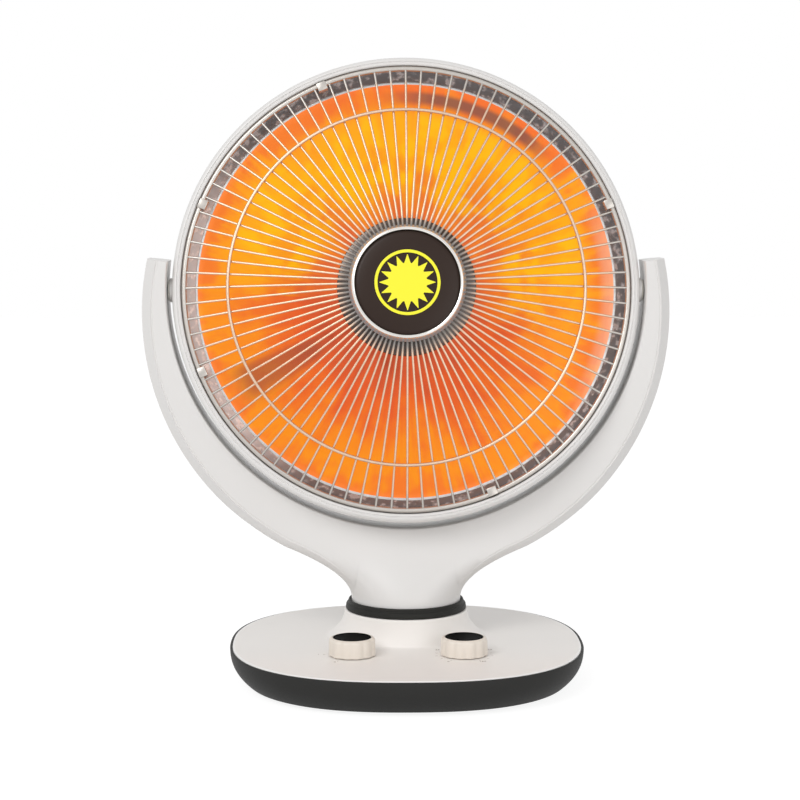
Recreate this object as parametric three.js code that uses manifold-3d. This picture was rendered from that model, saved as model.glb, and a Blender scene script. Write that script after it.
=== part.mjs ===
// A parabolic heater: a dish head behind a radial wire guard, tilting between the arms of a yoke
// that swivels on a low base. Millimetres, +Z up, the front faces -Y, the origin is on the floor
// under the middle of the base.
import * as THREE from "three";
import { mergeVertices } from "three/addons/utils/BufferGeometryUtils.js";
import Module from "manifold-3d";

const wasm = await Module();
wasm.setup();

// ---------------------------------------------------------------- driving dimensions

// Clearances and walls
const GAP = 0.3; // between faces that rest on each other
const RUN = 0.3; // round a pin, shaft or bush
const SKIN = 2.2; // wall of a moulded shell
const SHEET = 0.8; // pressed sheet metal

// Base
const BASE_HALF_WIDTH = 132;
const BASE_HALF_DEPTH = 131;
const BASE_POWER = 2.4; // squareness of the outline
const FOOT_HEIGHT = 2;
const FOOT_RADIUS = 8;
const FOOT_STEM_RADIUS = 3;
const FOOT_FROM_SIDE = 60; // from the base's side in to the middle of a foot
const PAN_HEIGHT = 24.4;
const PAN_TUCK = 12.5; // how far the bottom edge is drawn in
const PAN_TUCK_POWER = 2.4;
const PAN_LIP = 1.6;
const LEDGE_DEPTH = 2.6;
const COVER_THICKNESS = 2.4;
const COVER_PROUD = 0.6;
const COVER_CHAMFER = 0.8;
const COVER_SCREW_FROM_SIDE = 40;
const COVER_SCREW_FROM_FRONT = 71;
const BOSS_RADIUS = 4.5;
const SCREW_RADIUS = 1.6;
const SCREW_HEAD_RADIUS = 3.2;
const SCREW_HEAD_HEIGHT = 2;
const BALLAST_DEPTH = 70;
const BALLAST_THICKNESS = 4;
const BALLAST_CLEARANCE = 4; // from the feet's stems
const BALLAST_FROM_FRONT = 71; // from the pan's front edge back to the plate's middle

// Mound, collar and swivel
const SWIVEL_Y = 20;
const MOUND_HEIGHT = 20.3;
const MOUND_TOP_RADIUS = 46.6;
const MOUND_SIDE_SPREAD = 13; // how much wider the foot is than the top, sideways
const MOUND_FRONT_SPREAD = 4;
const COLLAR_HEIGHT = 7.4;
const COLLAR_FLANGE_RADIUS = 45.8;
const COLLAR_TOP_RADIUS = 43.7;
const COLLAR_CLEARANCE = 0.8;
const POST_RADIUS = 12;
const POST_BORE = 9;
const POST_FLANGE_THICKNESS = 3.4;
const POST_FLANGE_CLEARANCE = 2.1;
const BUSH_WALL = 2;
const BUSH_FLANGE_RADIUS = 34;
const BUSH_FLANGE_THICKNESS = 2.4;
const BUSH_LENGTH = 7;
const CLIP_THICKNESS = 1.1;
const CLIP_GROOVE = 1;
const CLIP_WIDTH = 5;

// Yoke, with heights measured from the tilt axis
const NECK_RADIUS = 41.3;
const NECK_STRAIGHT = 3;
const NECK_LAP = 4.7; // from the top of the mound up to the neck's bottom edge
const FLARE_HEIGHT = 41;
const FLARE_POWER = 1.5;
const FLARE_BELOW_RING = 15;
const ARM_GAP = 4; // between the head's ring and the arms
const ARM_REACH = 19; // arm width at the widest place of the yoke
const ARM_SAG = 24; // the same, measured down the yoke's lower half
const ARM_ARC_DROP = 18; // centre of the outer curve below the tilt axis
const ARM_TOP = 24;
const ARM_DEPTH = 36;
const CHAMFER_WIDTH = 7;
const CHAMFER_DEPTH = 8;
const ARM_SQUARENESS = 5; // of the section where the arms run into the neck
const SWELL_ABOVE = 43; // the neck starts to swell this far above the flare's top
const PIVOT_BOSS_RADIUS = 9;
const PIVOT_BOSS_PROUD = 2.1;
const BOLT_RADIUS = 3;
const BOLT_HEAD_RADIUS = 6.5;
const BOLT_HEAD_LENGTH = 3.5;
const WASHER_RADIUS = 8;
const WASHER_THICKNESS = 0.7;
const YOKE_SCREW_X = 52;
const YOKE_SCREW_BELOW_RING = 18; // from the arms' inner curve down to a screw's level
const YOKE_SCREW_SEAT = 12; // from the parting plane back to the screw's head
const LEAD_RADIUS = 2.5;
const LEAD_BEND_START = 36; // above the neck's foot, where the lead leaves the arm's wall
const LEAD_BEND_REACH = 14;
const LEAD_BEND_END = 24; // above the neck's foot, where it runs straight down
const LEAD_TAIL = 22; // below the neck's foot

// Head, with "ahead" measured from the tilt axis towards the front along the dish's axis
const TILT_BACK = 10; // degrees
const REFLECTOR_RADIUS = 155;
const REFLECTOR_RIM_AHEAD = 1;
const REFLECTOR_DEPTH = 60;
const REFLECTOR_HOLE = 24;
const REFLECTOR_FLANGE = 6.7;
const TRIM_WIDTH = 8;
const TRIM_RISE = 7;
const RIM_WIRE_RADIUS = 2;
const RIM_AHEAD = 12;
const RING_BAND = 6.7;
const RING_NOSE_AHEAD = 14.2;
const RING_NOSE_ROUND = 4.6; // how far back the nose's outer curve starts
const RING_NOSE_FLAT = 3.6; // from the outside in to the nose's front face
const RING_LIP = 9; // depth of the inner lip
const RING_BACK = 12; // behind the tilt axis
const REAR_DEPTH = 76;
const REAR_FLAT_RADIUS = 60;
const VENT_COUNT = 16;
const VENT_WIDTH = 4;
const VENT_INNER_RADIUS = 100;
const VENT_OUTER_RADIUS = 138;
const SHELL_SCREW_INSET = 7; // from the ring's outside in to a screw
const SHELL_SCREW_LENGTH = 14;
const SHELL_SCREW_ANGLES = [30, 150, 270];

// Guard and hub
const WIRE_COUNT = 88;
const WIRE_RADIUS = 1;
const GUARD_RISE = 27;
const GUARD_DOME_POWER = 1.25;
const HUB_RING_RADIUS = 41;
const HUB_WIRE_RADIUS = 1.5;
const MID_RING_RADIUS = 132;
const MID_WIRE_RADIUS = 1.2;
const CLIP_STEPS = [5.5, 27.5, 38.5, 49.5, 71.5]; // in wire spacings, between two wires
const GUARD_CLIP_WIDTH = 7;
const GUARD_CLIP_THICKNESS = 1.6;
const BADGE_RADIUS = 38.2;
const BADGE_FACE_AHEAD = 46.6;
const BADGE_WALL = 2;
const EMBLEM_RADIUS = 24;
const EMBLEM_THICKNESS = 0.7;
const EMBLEM_RAYS = 16;
const BEZEL_FLARE = 3;
const BEZEL_AHEAD = 48;

// Heating element
const SOCKET_FLANGE_RADIUS = 30;
const SOCKET_HEIGHT = 9;
const CORE_RADIUS = 15;
const CORE_FLANGE_RADIUS = 20.5;
const CORE_FLANGE_THICKNESS = 3;
const CORE_LENGTH = 66;
const COIL_WIRE_RADIUS = 1.6;
const COIL_CLEARANCE = 0.9;
const COIL_TURNS = 7;
const SHIELD_RADIUS = 51.5;
const SHIELD_RIM_AHEAD = 20;
const SHIELD_DOME = 4.6;
const SHIELD_POST_RADIUS = 6;
const CUTOUT_SIZE = [16, 6, 11];
const CUTOUT_OFFSET = 40;

// Controls
const KNOB_X = 40.8;
const KNOB_Y = -50;
const KNOB_RADIUS = 17.4;
const KNOB_HEIGHT = 12.9;
const KNOB_FLUTES = 12;
const KNOB_FLUTE_DEPTH = 0.7;
const KNOB_CAP_RADIUS = 13.8;
const KNOB_CAP_THICKNESS = 1.4;
const SHAFT_RADIUS = 3;
const SHAFT_DROP = 9;
const SWITCH_SIZE = 27;
const TIMER_RADIUS = 17;
const SWITCH_HEIGHT = 11.5;
const BUSHING_RADIUS = 4.8;

// Swing drive, under the cover
const MOTOR_X = 22;
const MOTOR_FROM_BACK = 51;
const MOTOR_RADIUS = 24;
const MOTOR_HEIGHT = 11.5;
const MOTOR_SHAFT_RADIUS = 2.5;
const CRANK_THROW = 12.6;
const LEVER_REACH = 22;
const LEVER_THICKNESS = 2;
const LEVER_HUB_WALL = 5;
const LEVER_PIN_PROUD = 0.6; // above the link
const CRANK_THICKNESS = 2;
const CRANK_MARGIN = 3.5; // of the disc, round the pin's circle
const CRANK_SHAFT_DEPTH = 7; // into the motor
const LINK_THICKNESS = 1.8;
const LINK_EYE_RADIUS = 5.6;
const DRIVE_PIN_RADIUS = 2.4;
const LINK_UNDERSIDE = 21.4; // above the floor
const OPEN_PIVOT_CLEARANCE = 0.4;

// Wiring and the tip-over switch
const BLOCK_SIZE = [34, 14, 11];
const BLOCK_X = -38;
const BLOCK_FROM_BACK = 43;
const GLAND_X = -38;
const GLAND_RADIUS = 6;
const GLAND_BORE = 3.6;
const GLAND_Z = 14.5;
const GLAND_LENGTH = 16;
const GLAND_NUT_LENGTH = 4;
const GLAND_NUT_MARGIN = 2;
const GLAND_SUNK = 1; // below the wall's face
const TIP_AT = [-62, 34];
const TIP_SIZE = 20;
const TIP_HEIGHT = 13;
const PLUNGER_RADIUS = 3;

// ---------------------------------------------------------------- derived places

const PAN_FLOOR = FOOT_HEIGHT + SKIN;
const FOOT_OFFSET = BASE_HALF_WIDTH - FOOT_FROM_SIDE;
const COVER_SCREW_X = BASE_HALF_WIDTH - COVER_SCREW_FROM_SIDE;
const COVER_SCREW_Y = BASE_HALF_DEPTH - COVER_SCREW_FROM_FRONT;
const MOTOR_Y = BASE_HALF_DEPTH - MOTOR_FROM_BACK;
const BALLAST_WIDTH = 2 * (FOOT_OFFSET - FOOT_STEM_RADIUS - BALLAST_CLEARANCE);
const BALLAST_Y = BALLAST_FROM_FRONT - BASE_HALF_DEPTH;
const PAN_TOP = FOOT_HEIGHT + PAN_HEIGHT;
const COVER_TOP = PAN_TOP + COVER_PROUD;
const COVER_UNDER = COVER_TOP - COVER_THICKNESS;
const MOUND_TOP = COVER_TOP + MOUND_HEIGHT;
const BUSH_RADIUS = POST_RADIUS + RUN + BUSH_WALL;
const BUSH_TOP = MOUND_TOP + GAP + BUSH_FLANGE_THICKNESS;
const POST_FLANGE_UNDER = BUSH_TOP + GAP;
const NECK_BOTTOM = MOUND_TOP + NECK_LAP;

const RIM_RADIUS = REFLECTOR_RADIUS + TRIM_WIDTH + RIM_WIRE_RADIUS;
const RING_INNER = RIM_RADIUS + RIM_WIRE_RADIUS + GAP;
const RING_OUTER = RING_INNER + RING_BAND;
const SHELL_SCREW_RADIUS_AT = RING_OUTER - SHELL_SCREW_INSET;
const ARM_INNER = RING_OUTER + ARM_GAP;
const YOKE_SCREW_DROP = ARM_INNER + YOKE_SCREW_BELOW_RING;
const ARM_A = ARM_INNER + ARM_REACH;
const ARM_B = ARM_INNER + ARM_SAG;
const FLARE_TOP = -(ARM_INNER + FLARE_BELOW_RING);
const FLARE_FOOT = FLARE_TOP - FLARE_HEIGHT;
const YOKE_FOOT = FLARE_FOOT - NECK_STRAIGHT;
const PIVOT_Z = NECK_BOTTOM - YOKE_FOOT;

const REFLECTOR_VERTEX = REFLECTOR_RIM_AHEAD - REFLECTOR_DEPTH;
const SOCKET_TOP = REFLECTOR_VERTEX + SOCKET_HEIGHT;
const CORE_FOOT = SOCKET_TOP + GAP;
const CORE_TOP = CORE_FOOT + CORE_LENGTH;
const WIRE_STEP = (2 * Math.PI) / WIRE_COUNT;
const LINK_TOP = LINK_UNDERSIDE + LINK_THICKNESS;

// ---------------------------------------------------------------- materials

function finish(color, roughness, metalness) {
  return new THREE.MeshStandardMaterial({ color, roughness, metalness });
}

const whitePlastic = finish(0xe6e4e2, 0.4, 0);
const greyPlastic = finish(0x3e3e3e, 0.5, 0);
const creamPlastic = finish(0xe8ded2, 0.45, 0);
const blackPlastic = finish(0x141312, 0.35, 0);
const brownPlastic = finish(0x42342d, 0.35, 0);
const yellowPrint = finish(0xfaf428, 0.5, 0);
const orangeReflector = finish(0xee8a2e, 0.3, 0.5);
const chrome = finish(0xd8d8d8, 0.12, 1);
const guardWire = finish(0xdcd6d0, 0.3, 0.7);
const steel = finish(0xa8aaad, 0.35, 1);
const ceramic = finish(0xeee9df, 0.7, 0);
const glowingWire = finish(0xff7a28, 0.6, 0.2);
const rubber = finish(0x262626, 0.85, 0);
const nylon = finish(0xd9d6cc, 0.55, 0);

// ---------------------------------------------------------------- shaping

// The closed solid of a geometry, with its faces turned outwards.
function solidOf(geometry) {
  const plain = geometry.index ? geometry.toNonIndexed() : geometry.clone();
  plain.deleteAttribute("normal");
  plain.deleteAttribute("uv");
  const merged = mergeVertices(plain, 1e-3);
  const at = merged.attributes.position.array;
  const faces = [];
  let volume = 0;
  for (let i = 0; i < merged.index.count; i += 3) {
    const [a, b, c] = [0, 1, 2].map((k) => merged.index.getX(i + k));
    if (a === b || b === c || c === a) continue;
    faces.push([a, b, c]);
    const [p, q, r] = [a, b, c].map((k) => new THREE.Vector3().fromArray(at, 3 * k));
    volume += p.dot(q.cross(r));
  }
  const outward = volume < 0 ? faces.map(([a, b, c]) => [a, c, b]) : faces;
  const triVerts = new Uint32Array(outward.flat());
  return new wasm.Manifold(new wasm.Mesh({ numProp: 3, vertProperties: at, triVerts }));
}

function geometryOf(solid) {
  const mesh = solid.getMesh();
  const geometry = new THREE.BufferGeometry();
  geometry.setAttribute("position", new THREE.BufferAttribute(mesh.vertProperties, 3));
  geometry.setIndex(new THREE.BufferAttribute(mesh.triVerts, 1));
  geometry.computeVertexNormals();
  return geometry;
}

function piece(name, solid, material) {
  const mesh = new THREE.Mesh(geometryOf(solid), material);
  mesh.name = name;
  return mesh;
}

const joined = (solids) => solids.reduce((a, b) => a.add(b));

function vector(x, y, z) {
  return new THREE.Vector3(x, y, z);
}

// A round bar between two points.
function bar(from, to, radius, sides = 16) {
  const along = to.clone().sub(from);
  const geometry = new THREE.CylinderGeometry(radius, radius, along.length(), sides);
  geometry.applyQuaternion(
    new THREE.Quaternion().setFromUnitVectors(vector(0, 1, 0), along.clone().normalize()),
  );
  const middle = from.clone().add(to).multiplyScalar(0.5);
  geometry.translate(middle.x, middle.y, middle.z);
  return solidOf(geometry);
}

const post = (x, y, low, high, radius, sides) =>
  bar(vector(x, y, low), vector(x, y, high), radius, sides);

function block(low, high) {
  const size = high.clone().sub(low);
  const geometry = new THREE.BoxGeometry(size.x, size.y, size.z);
  const middle = low.clone().add(high).multiplyScalar(0.5);
  geometry.translate(middle.x, middle.y, middle.z);
  return solidOf(geometry);
}

// A profile of [radius, height] turned about a vertical axis.
function turned(profile, sides = 36, x = 0, y = 0) {
  const points = profile.map(([r, z]) => new THREE.Vector2(r, z));
  const geometry = new THREE.LatheGeometry(points, sides);
  geometry.rotateX(Math.PI / 2);
  geometry.translate(x, y, 0);
  return solidOf(geometry);
}

// A profile of [radius, ahead] turned about the dish's axis.
function dished(profile, sides = 36) {
  const points = profile.map(([r, ahead]) => new THREE.Vector2(r, -ahead));
  return solidOf(new THREE.LatheGeometry(points, sides));
}

const closed = (profile) => [...profile, profile[0]];

// A skin through rings of equal count: capped at both ends, or closed on itself.
function loft(rings, loop = false) {
  const count = rings[0].length;
  const points = rings.flat();
  const faces = [];
  const bands = loop ? rings.length : rings.length - 1;
  for (let k = 0; k < bands; k++) {
    const near = k * count;
    const far = ((k + 1) % rings.length) * count;
    for (let i = 0; i < count; i++) {
      const j = (i + 1) % count;
      faces.push(near + i, near + j, far + j, near + i, far + j, far + i);
    }
  }
  if (!loop) {
    [rings[0], rings[rings.length - 1]].forEach((ring, end) => {
      const start = end ? (rings.length - 1) * count : 0;
      const centre = points.length;
      points.push(ring.reduce((a, b) => a.clone().add(b)).divideScalar(count));
      for (let i = 0; i < count; i++) {
        const j = (i + 1) % count;
        faces.push(centre, start + (end ? i : j), start + (end ? j : i));
      }
    });
  }
  const geometry = new THREE.BufferGeometry().setFromPoints(points);
  geometry.setIndex(faces);
  return solidOf(geometry);
}

// A tube of the given section along a curve.
function tube(curve, radius, sides, steps) {
  const section = new THREE.Shape();
  for (let i = 0; i < sides; i++) {
    const angle = (2 * Math.PI * (i + 0.5)) / sides;
    const corner = [radius * Math.cos(angle), radius * Math.sin(angle)];
    if (i) section.lineTo(...corner);
    else section.moveTo(...corner);
  }
  const options = { extrudePath: curve, steps, bevelEnabled: false };
  return solidOf(new THREE.ExtrudeGeometry(section, options));
}

const range = (count) => Array.from({ length: count }, (_, i) => i);

const mix = (a, b, share) => a + (b - a) * share;

// ---------------------------------------------------------------- base

const BASE_SIDES = 36;

// One ring of the base's outline, drawn in by an inset.
function baseRing(inset, z) {
  return range(BASE_SIDES).map((i) => {
    const angle = (2 * Math.PI * i) / BASE_SIDES;
    const [c, s] = [Math.cos(angle), Math.sin(angle)];
    const x = (BASE_HALF_WIDTH - inset) * Math.sign(c) * Math.abs(c) ** (2 / BASE_POWER);
    const y = (BASE_HALF_DEPTH - inset) * Math.sign(s) * Math.abs(s) ** (2 / BASE_POWER);
    return vector(x, y, z);
  });
}

const panTuck = (z) => PAN_TUCK * (1 - (z - FOOT_HEIGHT) / PAN_HEIGHT) ** PAN_TUCK_POWER;

const footPlaces = [-1, 1].flatMap((i) =>
  [-1, 1].map((j) => [i * FOOT_OFFSET, j * FOOT_OFFSET]),
);

const coverScrewPlaces = [-1, 1].flatMap((i) =>
  [-1, 1].map((j) => [i * COVER_SCREW_X, j * COVER_SCREW_Y]),
);

const SCREW_PAD = PAN_FLOOR + SCREW_HEAD_HEIGHT + 1; // top of the pan's pad over a screw head
const SCREW_SEAT = SCREW_PAD - SKIN; // where the head bears

function basePan() {
  const ledge = COVER_UNDER - GAP;
  const outside = [0, 0.08, 0.25, 0.55, 1].map((share) => FOOT_HEIGHT + share * PAN_HEIGHT);
  const inside = [0.45, 0].map((share) => mix(PAN_FLOOR, ledge - 2 * SKIN, share));
  const ledgeInset = PAN_LIP + LEDGE_DEPTH;
  let pan = loft([
    ...outside.map((z) => baseRing(panTuck(z), z)),
    baseRing(PAN_LIP, PAN_TOP),
    baseRing(PAN_LIP, ledge),
    baseRing(ledgeInset, ledge),
    baseRing(ledgeInset, ledge - SKIN),
    baseRing(SKIN + panTuck(ledge - 2 * SKIN), ledge - 2 * SKIN),
    ...inside.map((z) => baseRing(SKIN + panTuck(z), z)),
  ]);
  for (const [x, y] of coverScrewPlaces) {
    pan = pan.add(post(x, y, FOOT_HEIGHT, SCREW_PAD, SCREW_HEAD_RADIUS + SKIN, 8));
    pan = pan.subtract(post(x, y, 0, SCREW_SEAT, SCREW_HEAD_RADIUS + RUN, 8));
    pan = pan.subtract(post(x, y, 0, PAN_TOP, SCREW_RADIUS + RUN, 6));
  }
  for (const [x, y] of footPlaces) {
    pan = pan.subtract(post(x, y, 0, PAN_TOP, FOOT_STEM_RADIUS + RUN, 8));
  }
  pan = pan.subtract(post(...TIP_AT, 0, PAN_TOP, PLUNGER_RADIUS + RUN, 8));
  const behind = vector(GLAND_X, BASE_HALF_DEPTH, GLAND_Z);
  const inwards = vector(GLAND_X, 0, GLAND_Z);
  return pan.subtract(bar(inwards, behind, GLAND_RADIUS + GAP));
}

// One ring of the mound that rises to the collar, drawn in by an inset.
function moundRing(climb, inset, top) {
  const spread = (1 - climb) ** 2.2;
  const radius = MOUND_TOP_RADIUS - inset;
  return range(BASE_SIDES).map((i) => {
    const angle = (2 * Math.PI * i) / BASE_SIDES;
    const x = (radius + MOUND_SIDE_SPREAD * spread) * Math.cos(angle);
    const y = (radius + MOUND_FRONT_SPREAD * spread) * Math.sin(angle);
    return vector(x, SWIVEL_Y + y, top - MOUND_HEIGHT * (1 - climb));
  });
}

function boreRing(radius, z) {
  return range(BASE_SIDES).map((i) => {
    const angle = (2 * Math.PI * i) / BASE_SIDES;
    return vector(radius * Math.cos(angle), SWIVEL_Y + radius * Math.sin(angle), z);
  });
}

function baseCover() {
  const edge = PAN_LIP + GAP;
  const climbs = [0, 0.15, 0.45, 1];
  const under = MOUND_TOP - COVER_THICKNESS;
  let cover = loft(
    [
      baseRing(edge, COVER_UNDER),
      baseRing(edge, COVER_TOP - COVER_CHAMFER),
      baseRing(edge + COVER_CHAMFER, COVER_TOP),
      ...climbs.map((climb) => moundRing(climb, 0, MOUND_TOP)),
      boreRing(BUSH_RADIUS + GAP, MOUND_TOP),
      boreRing(BUSH_RADIUS + GAP, under),
      ...climbs.toReversed().map((climb) => moundRing(climb, COVER_THICKNESS, under)),
    ],
    true,
  );
  for (const [x, y] of coverScrewPlaces) {
    cover = cover.add(post(x, y, SCREW_PAD + GAP, COVER_UNDER + 1, BOSS_RADIUS, 8));
    cover = cover.subtract(post(x, y, 0, COVER_UNDER - 1, SCREW_RADIUS + RUN, 6));
  }
  for (const side of [-1, 1]) {
    cover = cover.subtract(post(side * KNOB_X, KNOB_Y, PAN_FLOOR, MOUND_TOP, BUSHING_RADIUS + RUN));
  }
  return cover;
}

function rubberFoot() {
  const profile = [
    [0, 0],
    [FOOT_RADIUS, 0],
    [FOOT_RADIUS, FOOT_HEIGHT - GAP],
    [FOOT_STEM_RADIUS, FOOT_HEIGHT - GAP],
    [FOOT_STEM_RADIUS, PAN_FLOOR + 2],
    [0, PAN_FLOOR + 2],
  ];
  return turned(profile, 12);
}

// A pan-head screw with its head's bearing face at the origin and its shank along +Z.
function screw(length) {
  const profile = [
    [0, -SCREW_HEAD_HEIGHT],
    [SCREW_HEAD_RADIUS, -SCREW_HEAD_HEIGHT],
    [SCREW_HEAD_RADIUS, 0],
    [SCREW_RADIUS, 0],
    [SCREW_RADIUS, length],
    [0, length],
  ];
  return turned(profile, 8);
}

function ballastPlate() {
  return block(
    vector(-BALLAST_WIDTH / 2, BALLAST_Y - BALLAST_DEPTH / 2, PAN_FLOOR + GAP),
    vector(BALLAST_WIDTH / 2, BALLAST_Y + BALLAST_DEPTH / 2, PAN_FLOOR + GAP + BALLAST_THICKNESS),
  );
}

function collarRing() {
  const foot = MOUND_TOP + GAP;
  const inner = NECK_RADIUS + COLLAR_CLEARANCE;
  const step = foot + COLLAR_HEIGHT * 0.6;
  const profile = [
    [inner, foot],
    [COLLAR_FLANGE_RADIUS - 0.4, foot],
    [COLLAR_FLANGE_RADIUS, foot + 0.8],
    [COLLAR_FLANGE_RADIUS - 0.5, step - 0.6],
    [COLLAR_TOP_RADIUS, step],
    [COLLAR_TOP_RADIUS, foot + COLLAR_HEIGHT - 0.6],
    [COLLAR_TOP_RADIUS - 0.6, foot + COLLAR_HEIGHT],
    [inner, foot + COLLAR_HEIGHT],
  ];
  return turned(closed(profile), 32, 0, SWIVEL_Y);
}

function swivelBearing() {
  const profile = [
    [POST_RADIUS + RUN, BUSH_TOP],
    [POST_RADIUS + RUN, MOUND_TOP - BUSH_LENGTH],
    [BUSH_RADIUS, MOUND_TOP - BUSH_LENGTH],
    [BUSH_RADIUS, MOUND_TOP + GAP],
    [BUSH_FLANGE_RADIUS, MOUND_TOP + GAP],
    [BUSH_FLANGE_RADIUS, BUSH_TOP],
  ];
  return turned(closed(profile), 20, 0, SWIVEL_Y);
}

const SWITCH_TOP = COVER_UNDER - GAP;

function controlBody(x, body) {
  const bushing = post(x, KNOB_Y, SWITCH_TOP - 1, COVER_TOP, BUSHING_RADIUS, 16);
  const bore = post(x, KNOB_Y, SWITCH_TOP - SHAFT_DROP, COVER_TOP + 1, SHAFT_RADIUS + RUN, 12);
  return body.add(bushing).subtract(bore);
}

function powerSwitch() {
  const half = SWITCH_SIZE / 2;
  const low = vector(-KNOB_X - half, KNOB_Y - half, SWITCH_TOP - SWITCH_HEIGHT);
  const high = vector(-KNOB_X + half, KNOB_Y + half, SWITCH_TOP);
  return controlBody(-KNOB_X, block(low, high));
}

function timerUnit() {
  const low = SWITCH_TOP - SWITCH_HEIGHT;
  return controlBody(KNOB_X, post(KNOB_X, KNOB_Y, low, SWITCH_TOP, TIMER_RADIUS, 20));
}

function oscillationMotor() {
  const foot = PAN_FLOOR + GAP;
  const top = foot + MOTOR_HEIGHT;
  const can = post(MOTOR_X, MOTOR_Y, foot, top, MOTOR_RADIUS, 24);
  const ears = block(
    vector(MOTOR_X - MOTOR_RADIUS - 5, MOTOR_Y - 5, foot),
    vector(MOTOR_X + MOTOR_RADIUS + 5, MOTOR_Y + 5, foot + 1.5),
  );
  const bore = post(MOTOR_X, MOTOR_Y, foot + 2, top + 1, MOTOR_SHAFT_RADIUS + RUN, 12);
  return can.add(ears).subtract(bore);
}

function terminalBlock() {
  const [width, depth, height] = BLOCK_SIZE;
  const [x, y] = [BLOCK_X, BASE_HALF_DEPTH - BLOCK_FROM_BACK];
  const foot = PAN_FLOOR + GAP;
  let body = block(
    vector(x - width / 2, y - depth / 2, foot),
    vector(x + width / 2, y + depth / 2, foot + height),
  );
  for (const way of [-1, 0, 1]) {
    const at = x + (way * width) / 3;
    body = body.subtract(post(at, y, foot + height / 2, foot + height + 1, 2, 8));
  }
  return body;
}

// The inlet of the mains lead, a sleeve set into the pan's rear wall.
function cordGland() {
  const aside = (Math.abs(GLAND_X) / BASE_HALF_WIDTH) ** BASE_POWER;
  const wall = BASE_HALF_DEPTH * (1 - aside) ** (1 / BASE_POWER);
  const outside = wall - panTuck(GLAND_Z) - GLAND_SUNK;
  const inside = outside - GLAND_LENGTH;
  const place = (y) => vector(GLAND_X, y, GLAND_Z);
  const sleeve = bar(place(inside), place(outside), GLAND_RADIUS, 14);
  const nut = bar(place(inside), place(inside + GLAND_NUT_LENGTH), GLAND_RADIUS + GLAND_NUT_MARGIN, 6);
  return sleeve.add(nut).subtract(bar(place(inside - 1), place(outside + 1), GLAND_BORE, 10));
}

function tipSwitchHousing() {
  const [x, y] = TIP_AT;
  const foot = PAN_FLOOR + GAP;
  const body = block(
    vector(x - TIP_SIZE / 2, y - TIP_SIZE / 2, foot),
    vector(x + TIP_SIZE / 2, y + TIP_SIZE / 2, foot + TIP_HEIGHT),
  );
  return body.subtract(post(x, y, 0, foot + TIP_HEIGHT - 2, PLUNGER_RADIUS + RUN, 12));
}

function tipPlunger() {
  return turned(
    [
      [0, 0],
      [PLUNGER_RADIUS - 1, 0],
      [PLUNGER_RADIUS, 1],
      [PLUNGER_RADIUS, PAN_FLOOR + TIP_HEIGHT - 3.5],
      [0, PAN_FLOOR + TIP_HEIGHT - 3.5],
    ],
    12,
  );
}

function baseGroup() {
  const group = new THREE.Group();
  group.add(piece("base_pan", basePan(), greyPlastic));
  group.add(piece("base_cover", baseCover(), whitePlastic));
  footPlaces.forEach(([x, y], i) => {
    const foot = piece("rubber_foot_" + (i + 1), rubberFoot(), rubber);
    foot.position.set(x, y, 0);
    group.add(foot);
  });
  coverScrewPlaces.forEach(([x, y], i) => {
    const fixing = piece("base_screw_" + (i + 1), screw(COVER_UNDER - 2 - SCREW_SEAT), steel);
    fixing.position.set(x, y, SCREW_SEAT - GAP);
    group.add(fixing);
  });
  group.add(piece("ballast_plate", ballastPlate(), steel));
  group.add(piece("collar_ring", collarRing(), greyPlastic));
  group.add(piece("swivel_bearing", swivelBearing(), nylon));
  group.add(piece("power_switch", powerSwitch(), blackPlastic));
  group.add(piece("timer_unit", timerUnit(), steel));
  group.add(piece("oscillation_motor", oscillationMotor(), steel));
  group.add(piece("terminal_block", terminalBlock(), nylon));
  group.add(piece("cord_gland", cordGland(), blackPlastic));
  group.add(piece("tip_switch_housing", tipSwitchHousing(), blackPlastic));
  const plunger = piece("tip_plunger", tipPlunger(), nylon);
  plunger.position.set(...TIP_AT, 0);
  group.add(plunger);
  return group;
}

// ---------------------------------------------------------------- controls

function flutedRing(radius, z) {
  const count = KNOB_FLUTES * 2;
  return range(count).map((i) => {
    const angle = (2 * Math.PI * i) / count;
    const r = radius - (i % 2 ? 0 : KNOB_FLUTE_DEPTH);
    return vector(r * Math.cos(angle), r * Math.sin(angle), z);
  });
}

// A fluted knob on its shaft, with a recess for the cap.
function knob() {
  const low = COVER_TOP + 2 * GAP;
  const high = low + KNOB_HEIGHT;
  const body = loft([
    flutedRing(KNOB_RADIUS, low),
    flutedRing(KNOB_RADIUS - 0.3, high - 2.6),
    flutedRing(KNOB_RADIUS - 1, high - 1),
    flutedRing(KNOB_RADIUS - 2.2, high),
  ]);
  const recess = post(0, 0, high - KNOB_CAP_THICKNESS - GAP, high + 1, KNOB_CAP_RADIUS + GAP, 24);
  const shaft = post(0, 0, SWITCH_TOP - SHAFT_DROP + 1, low + 1, SHAFT_RADIUS, 12);
  return body.subtract(recess).add(shaft);
}

function knobCap() {
  const high = COVER_TOP + 2 * GAP + KNOB_HEIGHT;
  const profile = [
    [0, high - KNOB_CAP_THICKNESS],
    [KNOB_CAP_RADIUS, high - KNOB_CAP_THICKNESS],
    [KNOB_CAP_RADIUS, high],
    [KNOB_CAP_RADIUS - 0.5, high + 0.3],
    [0, high + 0.3],
  ];
  return turned(profile, 24);
}

function knobGroup(name, x) {
  const group = new THREE.Group();
  group.position.set(x, KNOB_Y, 0);
  group.add(piece(name, knob(), creamPlastic));
  group.add(piece(name + "_cap", knobCap(), blackPlastic));
  return group;
}

// ---------------------------------------------------------------- swing drive

const leverPin = vector(LEVER_REACH, SWIVEL_Y, 0);
const crankPin = vector(MOTOR_X + CRANK_THROW, MOTOR_Y, 0);

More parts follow.
